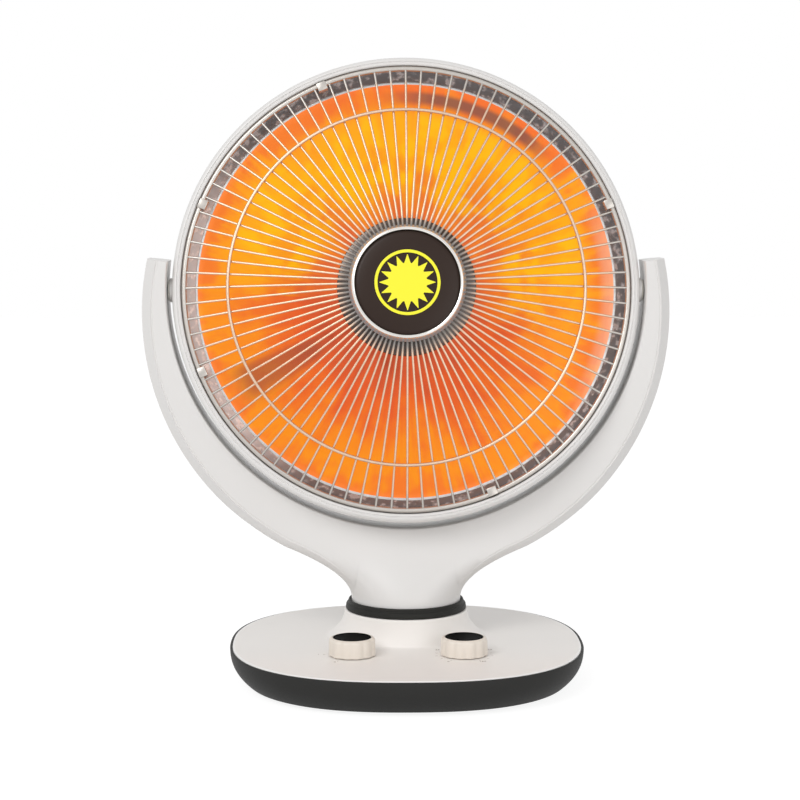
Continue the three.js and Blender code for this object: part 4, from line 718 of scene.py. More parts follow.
def across(x, z, side=1):
    """A place on the yoke whose Z axis runs backwards, or forwards for side -1."""
    spot = Matrix.Translation((x / 1000, SWIVEL_Y / 1000, (TILT_Z + z) / 1000))
    return spot @ Matrix.Rotation(math.radians(-90 * side), 4, "X") @ BASE


def sideways(axis, side):
    """A place on a tilt axis whose Z axis runs out to one side."""
    return axis @ Matrix.Rotation(math.radians(90 * side), 4, "Y") @ BASE


white_abs = moulded_plastic("satin white ABS", "e3e1df", 0.36, 0.7, 0.006, 0.008)
for side, name in ((-1, "yoke_front"), (1, "yoke_rear")):
    spots = [across(x, z, side) for x, z in YOKE_SCREWS]
    shell = carved(yoke_half(side, 0), [yoke_half(side, WALL)])
    posts = drums(spots, SCREW_POST, PARTING_GAP, 50)
    shell = carved(shell, [carved(post, [yoke_half(side, 0.5)], "INTERSECT") for post in posts], "UNION")
    holes = drums(spots, SCREW_BORE, -2, 80 if side > 0 else 18)
    holes += drums(spots, SCREW_WELL, 12, 80) if side > 0 else []
    holes += drums([sideways(TILT_AXIS, way) for way in (-1, 1)], PIVOT_BORE, ARM_INNER - 3, ARM_INNER + 4)
    show(name + "_moulded", carved(shell, holes), "yoke", white_abs, "white_shell", name)

turned_round = Matrix.Rotation(math.radians(90), 4, "X")
seats = [(x, z, -12.3) for x, z in YOKE_SCREWS]
screw_set("yoke_screws", 27, TILT_AXIS @ turned_round @ BASE, seats, "yoke", *numbered("yoke_screw", 2))

# ------------------------------------------------------------------ pivots
# On each side a zinc-plated shoulder bolt runs from inside the arm, through a nylon friction washer,
# into the boss of the head's ring.
bolt_head = softened([(0, 180.5), (6.5, 180.5), (6.5, 184.0), (0, 184.0)], 0.3)
bolt_shank = [(0, 169.5), (3, 169.5), (3, 181.5), (0, 181.5)]
washer_ring = softened([(3.3, 176.4), (8, 176.4), (8, 177.1), (3.3, 177.1)], 0.2, True)
for side, name in ((-1, "left"), (1, "right")):
    place = sideways(TILT_AXIS, side)
    bolt = together("bolt", [spun("shank", bolt_shank, place, 40), spun("bolt head", bolt_head, place, 6)])
    show(f"pivot_bolt_{name}_plated", bolt, "yoke", spring_steel, "zinc_steel", "pivot_bolt_" + name)
    washer = spun("washer", washer_ring, place, 64, True)
    show(f"friction_washer_{name}_cut", washer, "yoke", natural_nylon, "nylon", "friction_washer_" + name)
black_pvc = moulded_plastic("black PVC lead sheath", "1f1f1f", 0.5, 1.2, 0.02)
dress(black_pvc, "yoke_lead")

# ------------------------------------------------------------------ head ring and rear shell
# The white ABS ring that frames the dish carries a pivot boss on each side. Behind it a domed shell
# with sixteen rounded vents closes the head, held by three recessed screws.
TILT_BACK = 10.0
HEAD = TILT_AXIS @ Matrix.Rotation(math.radians(-TILT_BACK), 4, "X")
AHEAD = HEAD @ turned_round @ BASE  # X across, Y up the dish and Z out of it, in millimetres
RING_INNER, RING_OUTER = 167.3, 174.0
RING_BACK, RING_NOSE = -12.0, 14.2
SHELL_START, SHELL_DEPTH, SHELL_FLAT = -12.3, 76.0, 60.0
SHELL_BACK = SHELL_START - SHELL_DEPTH
SCREW_CIRCLE, SCREW_ANGLES = 167, (30, 150, 270)
FINE_ROUND = 264

turns = [math.radians(angle) for angle in SCREW_ANGLES]
shell_screws = [(SCREW_CIRCLE * math.cos(turn), SCREW_CIRCLE * math.sin(turn)) for turn in turns]
shell_spots = [AHEAD @ Matrix.Translation((x, y, 0)) for x, y in shell_screws]
pivot_spots = [sideways(HEAD, side) for side in (-1, 1)]
ring_profile = [
    *((RING_OUTER, RING_BACK), (RING_OUTER, 9.6), (RING_OUTER - 0.35, 11.4), (RING_OUTER - 1.2, 12.9)),
    *((RING_OUTER - 2.3, 13.8), (RING_OUTER - 3.4, RING_NOSE), (RING_OUTER - 3.6, 13.3)),
    *((RING_OUTER - 4.3, 13.3), (RING_OUTER - 4.5, RING_NOSE - 0.05), (RING_INNER + 0.9, 13.8)),
    *((RING_INNER + 0.25, 12.9), (RING_INNER, 5.2), (RING_INNER + 2.2, 5.2), (RING_INNER + 2.5, 10.5)),
    *((RING_OUTER - 2.2, 9.0), (RING_OUTER - 2.2, RING_BACK)),
]
ring = spun("ring", softened(ring_profile, 0.3, True, 2), AHEAD, FINE_ROUND, True)
boss = softened([(0, RING_INNER + 0.7), (9, RING_INNER + 0.7), (9, 176.1), (0, 176.1)], 0.4)
ring = carved(ring, [spun("boss", boss, spot, 64) for spot in pivot_spots], "UNION")
ring = carved(ring, drums(shell_spots, 5, RING_BACK, 5), "UNION")
holes = drums(pivot_spots, PIVOT_BORE, RING_INNER - 3, 178)
ring = carved(ring, holes + drums(shell_spots, SCREW_BORE, RING_BACK - 1, 1))
show("front_ring_moulded", ring, "head", white_abs, "white_shell", "front_ring")


def dome(inset, steps=28):
    """The rear shell's curve, from its edge to its flat back."""
    wide, deep = RING_OUTER - SHELL_FLAT - inset, SHELL_DEPTH - inset
    turns = [math.pi / 2 * i / steps for i in range(steps + 1)]
    return [(SHELL_FLAT + wide * math.cos(a), SHELL_START - deep * math.sin(a)) for a in turns]


def even_turn(tree, count, start=0.0):
    """The angle of each of some copies that are spread evenly round the axis."""
    place = {0: add(tree, "GeometryNodeInputIndex"), 1: start}
    place = add(tree, "ShaderNodeMath", place, operation="ADD")
    share = add(tree, "ShaderNodeMath", {0: place, 1: count}, operation="DIVIDE")
    return times(tree, share, 2 * math.pi)


SLOT_HEIGHT = 70.0  # of the bars that cut the vents
vents = {"Count": 16, "Middle radius": 119.0, "Length": 34.0, "Width": 4.0, "Middle depth": -75.0}
tree, given = growing("rear vents", vents)
slot_size = add(tree, "ShaderNodeCombineXYZ", {"X": given["Length"], "Y": given["Width"], "Z": SLOT_HEIGHT})
slot_end = {"Vertices": 16, "Radius": times(tree, given["Width"], 0.5), "Depth": SLOT_HEIGHT}
slot_end = add(tree, "GeometryNodeMeshCylinder", slot_end)
slot_parts = [add(tree, "GeometryNodeMeshCube", {"Size": slot_size})]
slot_parts += [moved(tree, slot_end, X=times(tree, given["Length"], way)) for way in (-0.5, 0.5)]
slot = add(tree, "GeometryNodeMeshBoolean", {"Mesh 2": slot_parts}, operation="UNION", solver="EXACT")
slot = moved(tree, slot, X=given["Middle radius"], Z=given["Middle depth"])
slots = set_round(tree, slot, given["Count"], even_turn(tree, given["Count"], 0.5))
pair = {"Mesh 1": given["Geometry"], "Mesh 2": slots}
ended(tree, add(tree, "GeometryNodeMeshBoolean", pair, operation="DIFFERENCE", solver="EXACT"), white_abs)
shell_profile = [(0, SHELL_BACK), *dome(0)[::-1], *dome(WALL), (0, SHELL_BACK + WALL)]
shell = spun("rear shell", shell_profile, Matrix.Identity(4), FINE_ROUND)
shell = grown_mesh(tree, vents, AHEAD, shell)
for well in drums(shell_spots, SCREW_POST, SHELL_START - 40, SHELL_START):
    outside = spun("outside", [(0, SHELL_BACK), *dome(0.05)[::-1], (0, SHELL_START)], AHEAD)
    shell = carved(shell, [carved(well, [outside], "INTERSECT")], "UNION")
holes = drums(shell_spots, SCREW_WELL, -60, SHELL_START - 4.4) + drums(shell_spots, SCREW_BORE, -20, -10)
show("rear_shell_moulded", carved(shell, holes), "head", white_abs, "white_shell", "rear_shell")
seats = [(x, y, SHELL_START - 4.7) for x, y in shell_screws]
screw_set("shell_screws", 14, AHEAD, seats, "head", *numbered("shell_screw", 3))

# ------------------------------------------------------------------ reflector
# The dish: a paraboloid spun from thin polished aluminium. Its inside carries a painted glow that stands in for
# the element's reflected light: orange, yellow where it is brightest, deeper near the hub, with streaks that
# run out from the middle.
DISH_RADIUS, DISH_DEPTH, DISH_HOLE, DISH_RIM = 155.0, 60.0, 24.0, 1.0
SHEET = 0.8


def dish_ahead(r):
    return DISH_RIM - DISH_DEPTH + DISH_DEPTH * (r / DISH_RADIUS) ** 2


def head_coordinates(tree):
    """Across and up the dish, the angle and radius there, and how far back, in metres from the axis."""
    place = add(tree, "ShaderNodeTexCoord").outputs["Object"]
    axis = (0, SWIVEL_Y / 1000, TILT_Z / 1000)
    near = add(tree, "ShaderNodeVectorMath", {0: place, 1: axis}, operation="SUBTRACT")
    turn = {"Vector": near, "Angle": math.radians(TILT_BACK)}
    turned = add(tree, "ShaderNodeVectorRotate", turn, rotation_type="X_AXIS")
    x, y, z = add(tree, "ShaderNodeSeparateXYZ", {0: turned}).outputs[:3]
    angle = add(tree, "ShaderNodeMath", {0: z, 1: x}, operation="ARCTAN2")
    flat = add(tree, "ShaderNodeCombineXYZ", {"X": x, "Y": z})
    radius = add(tree, "ShaderNodeVectorMath", {0: flat}, operation="LENGTH").outputs["Value"]
    return flat, angle, radius, y


def fanned_noise(tree, flat, spread, along, detail, roughness=0.5):
    """Noise in rays from the middle. It changes with the angle by the spread, and with one more value."""
    ray = add(tree, "ShaderNodeVectorMath", {0: flat}, operation="NORMALIZE")
    around = add(tree, "ShaderNodeVectorMath", {0: ray, "Scale": spread}, operation="SCALE")
    spot = {0: around, 1: add(tree, "ShaderNodeCombineXYZ", {"Z": along})}
    spot = add(tree, "ShaderNodeVectorMath", spot, operation="ADD")
    grain = {"Vector": spot, "Scale": 1.0, "Detail": detail, "Roughness": roughness}
    return add(tree, "ShaderNodeTexNoise", grain)


def smooth_step(tree, value, start, end):
    """0 up to the start and 1 from the end, with an even change between them."""
    sockets = {"Value": value, "From Min": start, "From Max": end}
    return add(tree, "ShaderNodeMapRange", sockets, interpolation_type="SMOOTHSTEP")


def window(tree, value, start, full, fall=2.0, end=3.0):
    """A smooth mask: 0 up to start, 1 from full to fall, and 0 again from end."""
    return times(tree, smooth_step(tree, value, start, full), smooth_step(tree, value, end, fall))


painted_glow_dish, tree, shader = new_finish("polished aluminium lit by the element")
flat, angle, radius, behind = head_coordinates(tree)
share = times(tree, radius, 1000 / DISH_RADIUS)
broad = fanned_noise(tree, flat, 3.2, times(tree, share, 0.9), 3.0, 0.6)
narrow = fanned_noise(tree, flat, 17.0, times(tree, share, 0.5), 3.0, 0.6)
patches = {"Vector": flat, "Scale": 42.0, "Detail": 2.0, "Roughness": 0.55}
patches = add(tree, "ShaderNodeTexNoise", patches)
# The three noises push the colour bands in and out along the radius.
drifts = []
for noise, strength in ((broad, 0.34), (narrow, 0.3), (patches, 0.42)):
    drifts.append(times(tree, add(tree, "ShaderNodeMath", {0: noise, 1: -0.5}, operation="ADD"), strength))
shift = add(tree, "ShaderNodeMath", {0: drifts[0], 1: drifts[1]}, operation="ADD")
shift = add(tree, "ShaderNodeMath", {0: drifts[2], 1: shift}, operation="ADD")
warped = add(tree, "ShaderNodeMath", {0: share, 1: shift}, operation="ADD")
lower_painted_glow = ((0.2, "a2442c"), (0.36, "c55636"), (0.52, "df5f2e"), (0.66, "ea712a"), (0.79, "f28a22"))
lower_painted_glow += ((0.9, "f4921f"), (1.0, "ee7a2c"))
upper_painted_glow = ((0.2, "bb5636"), (0.35, "d96538"), (0.48, "ea7c2c"), (0.6, "f3971a"), (0.76, "f8aa10"))
upper_painted_glow += ((0.89, "f59a1c"), (0.97, "ee7c2a"))
halves = []
for stops in (lower_painted_glow, upper_painted_glow):
    painted_glow_ramp = add(tree, "ShaderNodeValToRGB", {"Fac": warped})
    while len(painted_glow_ramp.color_ramp.elements) < len(stops):
        painted_glow_ramp.color_ramp.elements.new(0.5)
    for element, (position, colour) in zip(painted_glow_ramp.color_ramp.elements, stops):
        element.position = position
        element.color = tone(colour)
    halves.append(painted_glow_ramp.outputs["Color"])
# Painted reflections of the element: a painted yellow highlight in the upper half, a painted red edge and a
# painted dark patch at the top, a painted dark streak low on the left and a painted pink edge on the right.
upper = window(tree, angle, -0.45, 0.35, 2.75, 3.3)
bright = times(tree, upper, window(tree, share, 0.42, 0.6, 0.84, 0.95), window(tree, broad, 0.36, 0.5))
bright = times(tree, bright, window(tree, patches, 0.4, 0.58), 0.95)
painted_red_top = times(tree, window(tree, angle, 0.5, 0.95, 1.7, 2.3), window(tree, share, 0.86, 0.94), 0.5)
painted_dark_top = window(tree, angle, 0.72, 0.92, 1.4, 1.75)
painted_dark_top = times(tree, painted_dark_top, window(tree, share, 0.905, 0.94, 0.96, 0.985), 0.8)
painted_low_left_streak = window(tree, angle, -2.76, -2.68, -2.58, -2.46)
painted_low_left_streak = times(tree, painted_low_left_streak, window(tree, share, 0.4, 0.55, 0.86, 0.98), 0.7)
painted_pink_edge = times(tree, window(tree, angle, -0.7, -0.3, 0.2, 0.5), window(tree, share, 0.93, 0.98), 0.5)
glow = layered(tree, halves[0], (halves[1], upper), ("f9b80c", bright), ("e65f2c", painted_red_top))
glow = layered(tree, glow, ("6f4f47", painted_dark_top), ("9c543c", painted_low_left_streak), ("edb094", painted_pink_edge))
# Only the inside carries the painted glow: half a sheet behind the dish's curve, the metal is bare.
curve = times(tree, share, share, DISH_DEPTH / 1000)
depth = add(tree, "ShaderNodeMath", {0: curve, 1: behind}, operation="ADD")
skin = {0: depth, 1: (DISH_DEPTH - DISH_RIM + SHEET / 2) / 1000}
inside = add(tree, "ShaderNodeMath", skin, operation="LESS_THAN")
lines = add(tree, "ShaderNodeCombineXYZ", {"X": times(tree, radius, 900.0)})
spin_marks = add(tree, "ShaderNodeTexNoise", {"Vector": lines, "Scale": 1.0, "Detail": 1.0})
bump = add(tree, "ShaderNodeBump", {"Height": spin_marks, "Strength": 0.15, "Distance": 0.0001})
# The painted glow goes into both the colour and the emission, so the dish glows though it is no lamp.
sockets = {
    "Base Color": layered(tree, "c9c9c8", (layered(tree, glow, ("000000", 0.62)), inside)),
    "Emission Color": layered(tree, "000000", (glow, inside)),
    "Emission Strength": 0.82,
    "Metallic": add(tree, "ShaderNodeMapRange", {"Value": inside, "To Min": 1.0, "To Max": 0.35}),
    "Roughness": add(tree, "ShaderNodeMapRange", {"Value": spin_marks, "To Min": 0.3, "To Max": 0.42}),
    "Normal": bump,
}
feed(shader, sockets)

radii = [DISH_HOLE + (DISH_RADIUS - DISH_HOLE) * i / 40 for i in range(41)]
dish = [(r, dish_ahead(r)) for r in radii]
dish += [(155.8, DISH_RIM + 0.1), (156.6, DISH_RIM), (161.7, DISH_RIM), (161.7, DISH_RIM - SHEET)]
dish += [(r, dish_ahead(r) - SHEET) for r in reversed(radii)]
dish = spun("dish", dish, AHEAD, FINE_ROUND, True)
show("reflector_spun", dish, "head", painted_glow_dish, "lit_reflector", "reflector")

# ------------------------------------------------------------------ trim ring
# A pressed ring with bright chrome plating slopes up from the dish's edge to the guard. Its colour is painted
# by angle:
# a painted dark reflection along its top and right, and a painted bright reflection along its left, both broken
# into lighter painted streaks.
bright_trim, tree, shader = new_finish("chrome-plated trim")
flat, angle, radius, behind = head_coordinates(tree)
next_turn = add(tree, "ShaderNodeMath", {0: angle, 1: 2 * math.pi}, operation="ADD")
under = add(tree, "ShaderNodeMath", {0: angle, 1: 0.0}, operation="LESS_THAN")
full_turn = add(tree, "ShaderNodeMix", {0: under, 2: angle, 3: next_turn})
# Painted light: the left side is painted bright and less metallic, the top and right painted dark, with lighter
# painted streaks.
painted_lit_side = window(tree, full_turn, 2.3, 2.9, 3.75, 4.3)
ripple = fanned_noise(tree, flat, 24.0, times(tree, radius, 260.0), 2.0)
painted_reflection_streaks = window(tree, ripple, 0.5, 0.66)
dark = layered(tree, "7b8288", ("b9c0c6", painted_reflection_streaks))
bright = layered(tree, "dfe4e8", ("ffffff", painted_reflection_streaks))
sockets = {
    "Base Color": layered(tree, dark, (bright, painted_lit_side)),
    "Metallic": add(tree, "ShaderNodeMapRange", {"Value": painted_lit_side, "To Min": 0.35, "To Max": 0.1}),
    "Roughness": add(tree, "ShaderNodeMapRange", {"Value": ripple, "To Min": 0.16, "To Max": 0.34}),
}
feed(shader, sockets)
trim = [(157.4, 1.3), (158.3, 1.3), (164.5, 8.3), (166.7, 8.3), (166.7, 9.1), (164.1, 9.1), (157.4, 2.5)]
trim = spun("trim", softened(trim, 0.3, True), AHEAD, FINE_ROUND, True)
show("trim_ring_plated", trim, "head", bright_trim, "chrome", "trim_ring")

# ------------------------------------------------------------------ wire guard
# Eighty-eight bright-plated steel wires dome outwards from the rim ring to the ring at the hub, and
# a thinner ring is welded across the front of them. Five plated clips hook the rim to the trim.
RIM_AHEAD, HUB_RING, HUB_WIRE, RISE = 12.0, 41.0, 1.5, 27.0
MID_RING, MID_WIRE = 132.0, 1.2
guard = {"Wires": 88, "Wire radius": 0.88, "Rim radius": 165.0, "Rim wire": 2.0, "Rim ahead": RIM_AHEAD}
guard |= {"Hub radius": HUB_RING, "Hub wire": HUB_WIRE, "Rise": RISE, "Dome power": 1.25}


def guard_ahead(r):
    share = max(0.0, (r - HUB_RING) / (guard["Rim radius"] - HUB_RING))
    return RIM_AHEAD + RISE * (1 - share ** guard["Dome power"])


plated_wire, tree, shader = new_finish("bright-plated steel wire")
place = add(tree, "ShaderNodeTexCoord").outputs["Object"]
drawn = add(tree, "ShaderNodeTexNoise", {"Vector": place, "Scale": 240.0, "Detail": 2.0})
radius = head_coordinates(tree)[2]
outer = smooth_step(tree, radius, 0.151, 0.157)
inner = smooth_step(tree, radius, 0.054, 0.044)
# Painted reflection: the wires' warm pink tint stands in for the glowing dish mirrored in them. Towards the rim
# they turn grey, and at the hub a darker grey and less metallic.
sockets = {
    "Base Color": layered(tree, "d2b399", ("e2c7b0", drawn), ("bdb8b2", outer), ("8b8783", inner)),
    "Metallic": add(tree, "ShaderNodeMapRange", {"Value": inner, "To Min": 0.85, "To Max": 0.25}),
    "Roughness": add(tree, "ShaderNodeMapRange", {"Value": drawn, "To Min": 0.26, "To Max": 0.4}),
}
feed(shader, sockets)


def hoop(tree, points, radius, sides, wire):
    """A ring of wire round the Z axis."""
    path = add(tree, "GeometryNodeCurvePrimitiveCircle", {"Resolution": points, "Radius": radius})
    section = add(tree, "GeometryNodeCurvePrimitiveCircle", {"Resolution": sides, "Radius": wire})
    return add(tree, "GeometryNodeCurveToMesh", {"Curve": path, "Profile Curve": section})


tree, given = growing("radial wire guard", guard)
line = add(tree, "GeometryNodeCurvePrimitiveLine", {"Start": (0, 0, 0), "End": (1, 0, 0)})
line = add(tree, "GeometryNodeResampleCurve", {"Curve": line, "Count": 15})
along = add(tree, "GeometryNodeSplineParameter").outputs["Factor"]
reach = {"Value": along, "To Min": given["Hub radius"], "To Max": given["Rim radius"]}
reach = add(tree, "ShaderNodeMapRange", reach)
curved = add(tree, "ShaderNodeMath", {0: along, 1: given["Dome power"]}, operation="POWER")
fallen = add(tree, "ShaderNodeMath", {0: 1.0, 1: curved}, operation="SUBTRACT")
risen = {0: fallen, 1: given["Rise"], 2: given["Rim ahead"]}
risen = add(tree, "ShaderNodeMath", risen, operation="MULTIPLY_ADD")
bent = {"Geometry": line, "Position": add(tree, "ShaderNodeCombineXYZ", {"X": reach, "Z": risen})}
bent = add(tree, "GeometryNodeSetPosition", bent)
section = add(tree, "GeometryNodeCurvePrimitiveCircle", {"Resolution": 10, "Radius": given["Wire radius"]})
wire = {"Curve": bent, "Profile Curve": section, "Fill Caps": True}
wire = add(tree, "GeometryNodeCurveToMesh", wire)
hub_height = {0: given["Rim ahead"], 1: given["Rise"]}
hub_height = add(tree, "ShaderNodeMath", hub_height, operation="ADD")
rim_hoop = hoop(tree, FINE_ROUND, given["Rim radius"], 14, given["Rim wire"])
hub_hoop = hoop(tree, FINE_ROUND, given["Hub radius"], 14, given["Hub wire"])
parts = [set_round(tree, wire, given["Wires"], even_turn(tree, given["Wires"]))]
parts += [moved(tree, rim_hoop, Z=given["Rim ahead"]), moved(tree, hub_hoop, Z=hub_height)]
ended(tree, add(tree, "GeometryNodeJoinGeometry", {0: parts}), plated_wire)
show("wire_guard_plated", grown_mesh(tree, guard, AHEAD), "head", plated_wire, "guard_wire", "wire_guard")

mid_ahead = guard_ahead(MID_RING) + guard["Wire radius"] + MID_WIRE + 0.1
turns = [2 * math.pi * i / 14 for i in range(14)]
mid = [(MID_RING + MID_WIRE * math.cos(a), mid_ahead + MID_WIRE * math.sin(a)) for a in turns]
mid = spun("mid ring", mid, AHEAD, FINE_ROUND, True)
show("guard_mid_ring_plated", mid, "head", plated_wire, "guard_wire", "guard_mid_ring")

CLIP_STEPS = (5.5, 27.5, 38.5, 49.5, 71.5)  # counted in wires
CLIP_MIDDLE = (163.0, 12.0)
clip_side = [(160.3, 6.6), (161.9, 6.6), (161.9, 14.3), (166.7, 14.3), (166.7, 15.9), (160.3, 15.9)]
clip_side = softened(clip_side, 0.6, True, 3)
middle_r, middle_h = CLIP_MIDDLE
shrunk = [(r * 0.97 + 0.03 * middle_r, h * 0.97 + 0.03 * middle_h) for r, h in clip_side]
clips = []
for step in CLIP_STEPS:
    spin = AHEAD @ Matrix.Rotation(step * 2 * math.pi / guard["Wires"], 4, "Z")
    sides = ((-3.5, shrunk), (-3.2, clip_side), (3.2, clip_side), (3.5, shrunk))
    rings = [[(r, y, h) for r, h in outline] for y, outline in sides]
    clips.append(surface("clip", [centre(rings[0]), *rings, centre(rings[3])], spin))
show("guard_clips", together("clips", clips), "head", plated_wire, "zinc_steel", *numbered("guard_clip", 5))

# ------------------------------------------------------------------ hub disc
# A glossy brown-black disc snaps into the guard's hub ring behind a chromed bezel. A plain sun, a
# disc with sixteen short rays, is printed on it in yellow.
DISC_RADIUS, DISC_FACE, SUN_RADIUS = 38.2, 46.6, 24.0
bezel_chrome, tree, shader = new_finish("chrome-plated ABS bezel")
place = add(tree, "ShaderNodeTexCoord").outputs["Object"]
smear = add(tree, "ShaderNodeTexNoise", {"Vector": place, "Scale": 45.0, "Detail": 2.0})
# The plating thins out over the flank that faces the wires, where it would mirror the dish.
radius = head_coordinates(tree)[2]
flank = add(tree, "ShaderNodeMapRange", {"Value": radius, "From Min": 0.0408, "From Max": 0.0416})
sockets = {
    "Base Color": layered(tree, "d4d1cc", ("f0eeea", smear), ("8f9296", flank)),
    "Metallic": add(tree, "ShaderNodeMapRange", {"Value": flank, "To Min": 1.0, "To Max": 0.1}),
    "Roughness": add(tree, "ShaderNodeMapRange", {"Value": smear, "To Min": 0.08, "To Max": 0.16}),
}
feed(shader, sockets)
foot = RISE + RIM_AHEAD + HUB_WIRE + 0.3
bezel = [(38.5, foot), (42.0, foot), (43.1, foot + 1.3), (42.7, foot + 2.1)]
bezel += [(40.7, 47.4), (39.7, 48.0), (38.5, 47.6)]
bezel = spun("bezel", softened(bezel, 0.5, True), AHEAD, 160, True)
show("hub_bezel_plated", bezel, "head", bezel_chrome, "chrome", "hub_bezel")

hook = RISE + RIM_AHEAD - HUB_WIRE - 0.3
disc = [(0, DISC_FACE), (26, DISC_FACE), (35.5, DISC_FACE - 0.5), (DISC_RADIUS - 0.6, DISC_FACE - 1.0)]
disc += [(DISC_RADIUS, DISC_FACE - 1.7), (DISC_RADIUS, hook), (40.6, hook), (39.6, hook - 1.8)]
disc += [(36.2, hook - 1.8), (36.2, DISC_FACE - 3.2), (0, DISC_FACE - 3.2)]
brown_gloss = moulded_plastic("glossy brown-black ABS", "2e2019", 0.34, 0.5, 0.003, ior=1.3)
show("hub_disc", spun("disc", disc, AHEAD, 160), "head", brown_gloss, "badge_brown", "hub_badge")

yellow_print = moulded_plastic("yellow pad print", "faf428", 0.5, 0.4, 0.002, 0.01)
sun = {"Rays": 16, "Disc radius": 14.2, "Ray start": 13.8, "Ray end": SUN_RADIUS - 3.6, "Ray width": 3.4}
sun |= {"Thickness": 0.5, "Border radius": SUN_RADIUS - 1.1, "Border width": 1.1}
tree, given = growing("sun rosette", sun)
disc = {"Vertices": 96, "Radius": given["Disc radius"], "Depth": given["Thickness"]}
disc = add(tree, "GeometryNodeMeshCylinder", disc)
length = {0: given["Ray end"], 1: given["Ray start"]}
length = add(tree, "ShaderNodeMath", length, operation="SUBTRACT")
ray = {"Vertices": 4, "Radius Bottom": given["Ray width"], "Radius Top": 0.25, "Depth": length}
ray = add(tree, "GeometryNodeMeshCone", ray)
for turn in ((0, 0, math.pi / 4), (0, math.pi / 2, 0)):
    ray = add(tree, "GeometryNodeTransform", {"Geometry": ray, "Rotation": turn})
ray = add(tree, "GeometryNodeTransform", {"Geometry": ray, "Scale": (1.0, 1.0, 0.08)})
ray = moved(tree, ray, X=given["Ray start"])
rays = set_round(tree, ray, given["Rays"], even_turn(tree, given["Rays"]))
border = hoop(tree, 128, given["Border radius"], 4, given["Border width"])
border = add(tree, "GeometryNodeTransform", {"Geometry": border, "Scale": (1.0, 1.0, 0.2)})
ended(tree, add(tree, "GeometryNodeJoinGeometry", {0: [disc, rays, border]}), yellow_print)
rosette = grown_mesh(tree, sun, AHEAD @ Matrix.Translation((0, 0, DISC_FACE + 0.45)))
show("sun_rosette", rosette, "head", yellow_print, "emblem_yellow", "badge_emblem")

# ------------------------------------------------------------------ heating element
# In the middle of the dish an unglazed ceramic core on a stepped socket carries the glowing winding
# of resistance wire, and a polished steel cap ahead of it throws the heat back into the dish.
VERTEX = DISH_RIM - DISH_DEPTH
SOCKET_TOP = VERTEX + 9.0
CORE_RADIUS, COLLAR_RADIUS, GROOVES = 14.4, 20.5, 14
CORE_FOOT, CORE_LENGTH = SOCKET_TOP + 0.3, 66.0
CORE_TOP = CORE_FOOT + CORE_LENGTH
ceramic = moulded_plastic("unglazed steatite ceramic", "ece6da", 0.75, 0.9, 0.06)
rear = VERTEX - 1.2
socket = [(0, rear - 5), (30, rear - 5), (30, rear + dish_ahead(30) - dish_ahead(DISH_HOLE)), (25, rear + 0.9)]
socket += [(23.7, rear + 1.2), (23.7, VERTEX + 3.4), (COLLAR_RADIUS, SOCKET_TOP), (0, SOCKET_TOP)]
socket = spun("socket", softened(socket, 0.4), AHEAD, 96)
show("element_socket_pressed", socket, "head", ceramic, "ceramic", "element_socket")
core = [(0, CORE_FOOT), (COLLAR_RADIUS, CORE_FOOT), (COLLAR_RADIUS, CORE_FOOT + 3)]
for i in range(GROOVES + 1):
    h = CORE_FOOT + 3 + (CORE_LENGTH - 6) * i / GROOVES
    ridge = [(CORE_RADIUS, h), (15.0, h + 1.2), (15.0, h + 3.0)]
    core += ridge if i < GROOVES else ridge[:1]
core += [(COLLAR_RADIUS, CORE_TOP - 3), (COLLAR_RADIUS, CORE_TOP), (0, CORE_TOP)]
core = spun("core", softened(core, 0.3), AHEAD, 96)
show("element_core_fired", core, "head", ceramic, "ceramic", "element_core")

COIL_TURNS, COIL_WIRE, COIL_RADIUS = 7, 1.6, 17.5
COIL_TAIL = 3.2  # the straight end of the wire, along the core
SPRING_PITCH = 0.9  # of the fine spring that the wire itself is wound as
glowing_coil, tree, shader = new_finish("glowing resistance wire")
runs = add(tree, "ShaderNodeUVMap", uv_map="winding")
# The UV map counts the spring's turns along the wire, and each turn is one band of its glow.
bands = {"Vector": runs, "Scale": math.pi / 10, "Distortion": 0.0}
bands = add(tree, "ShaderNodeTexWave", bands, bands_direction="X")
band_light = bands.outputs["Fac"]
bump = add(tree, "ShaderNodeBump", {"Height": band_light, "Strength": 0.8, "Distance": 0.0003})
glow = layered(tree, "a83206", ("ff9a3c", band_light))
feed(shader, {"Emission Color": glow, "Emission Strength": 1.3, "Base Color": tone("7a3a20")})
feed(shader, {"Metallic": 0.6, "Roughness": 0.55, "Normal": bump})
coil_low, coil_high = CORE_FOOT + 3.3, CORE_TOP - 3.3
steps, sides = COIL_TURNS * 40, 12
# The path is (angle, height, lean): a section leans from 0 on the tails to a quarter turn on the helix.
path = [(0.0, coil_low, 0.0), (0.0, coil_low + COIL_TAIL / 2, 0.0)]
for i in range(steps + 1):
    lean = math.pi / 4 if i in (0, steps) else math.pi / 2
    wound = blended(coil_low + COIL_TAIL, coil_high - COIL_TAIL, i / steps)
    path.append((2 * math.pi * COIL_TURNS * i / steps, wound, lean))
path += [(0.0, coil_high - COIL_TAIL / 2, 0.0), (0.0, coil_high, 0.0)]
coil_shape = bmesh.new()
strip = coil_shape.loops.layers.uv.new("winding")
rows, lengths, last = [], [0.0], None
for a, h, lean in path:
    outwards, along = Vector((math.cos(a), math.sin(a), 0)), Vector((-math.sin(a), math.cos(a), 0))
    aside = along * math.cos(lean) - Vector((0, 0, 1)) * math.sin(lean)
    middle = outwards * COIL_RADIUS + Vector((0, 0, h))
    lengths.append(lengths[-1] + (middle - last).length if last else 0.0)
    last = middle
    turns = [2 * math.pi * k / sides for k in range(sides)]
    skin = [middle + (outwards * math.cos(b) + aside * math.sin(b)) * COIL_WIRE for b in turns]
    rows.append([coil_shape.verts.new(AHEAD @ point) for point in skin])
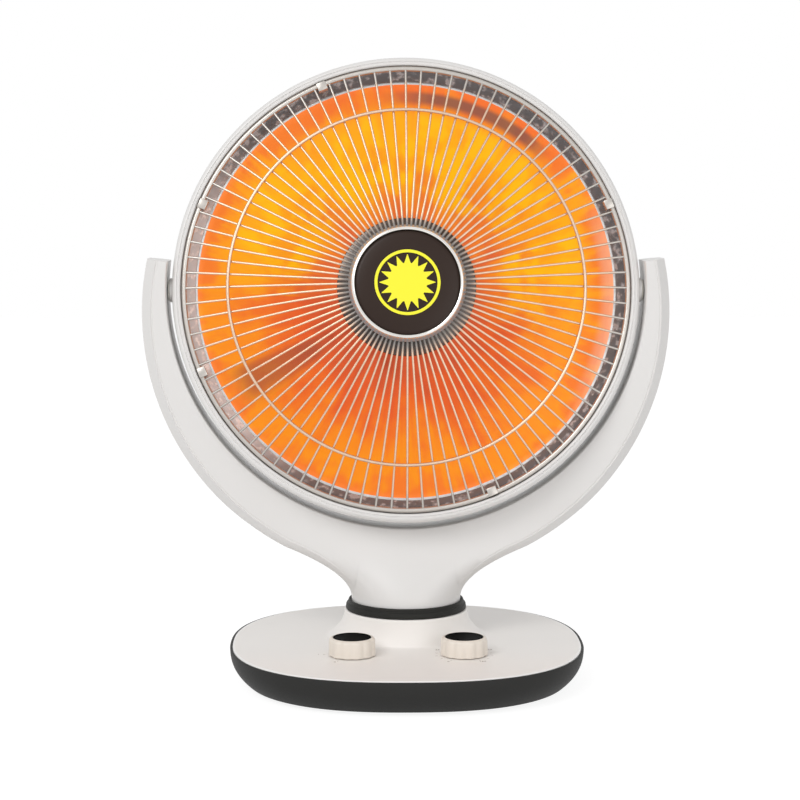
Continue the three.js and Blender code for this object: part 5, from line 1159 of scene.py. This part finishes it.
for i in range(len(rows) - 1):
    for k in range(sides):
        n = (k + 1) % sides
        face = coil_shape.faces.new([rows[i][k], rows[i][n], rows[i + 1][n], rows[i + 1][k]])
        for loop, (u, v) in zip(face.loops, ((i, k), (i, k + 1), (i + 1, k + 1), (i + 1, k))):
            loop[strip].uv = (lengths[u + 1] / SPRING_PITCH, v / sides)
for row in (rows[0], rows[-1]):
    coil_shape.faces.new(row)
bmesh.ops.recalc_face_normals(coil_shape, faces=coil_shape.faces)
coil = bpy.data.meshes.new("coil")
coil_shape.to_mesh(coil)
coil_shape.free()
show("heating_coil_wound", smoothed(coil), "head", glowing_coil, "glowing_wire", "heating_coil")

SHIELD_RADIUS, SHIELD_RIM, SHIELD_DOME = 51.5, 20.0, 4.6
STEM_RADIUS, STEM_FOOT = 6, CORE_TOP + 0.3
cap_steel, tree, shader = new_finish("polished stainless cap")
polish = fanned_noise(tree, head_coordinates(tree)[0], 14.0, 0.0, 2.0)
sheen = add(tree, "ShaderNodeMapRange", {"Value": polish, "To Min": 0.16, "To Max": 0.3})
# Painted dark reflection: the cap's colour is far darker than bare polished steel, with lighter polish streaks.
steel = layered(tree, "4a4846", ("65625f", polish))
feed(shader, {"Base Color": steel, "Metallic": 1.0, "Roughness": sheen})


def shield_ahead(r):
    return SHIELD_RIM + SHIELD_DOME * (1 - (r / SHIELD_RADIUS) ** 2)


radii = [SHIELD_RADIUS * i / 16 for i in range(17)]
turned_in = SHIELD_RADIUS - SHEET
shield = [(0, STEM_FOOT), (STEM_RADIUS, STEM_FOOT), (STEM_RADIUS, shield_ahead(STEM_RADIUS) - SHEET)]
shield += [(r, shield_ahead(r) - SHEET) for r in radii if 7 < r < 50]
shield += [(turned_in, SHIELD_RIM - 0.6), (turned_in, SHIELD_RIM - 3), (SHIELD_RADIUS, SHIELD_RIM - 3)]
shield += [(SHIELD_RADIUS, SHIELD_RIM - 0.5), (SHIELD_RADIUS - 0.2, SHIELD_RIM - 0.1)]
shield += [(SHIELD_RADIUS - 0.7, SHIELD_RIM + 0.15)]
shield += [(r, shield_ahead(r)) for r in reversed(radii) if r < 50]
shield = spun("shield", shield, AHEAD, 160)
show("element_shield_spun", shield, "head", cap_steel, "chrome", "element_shield")
dress(black_phenolic, "thermal_cutout")
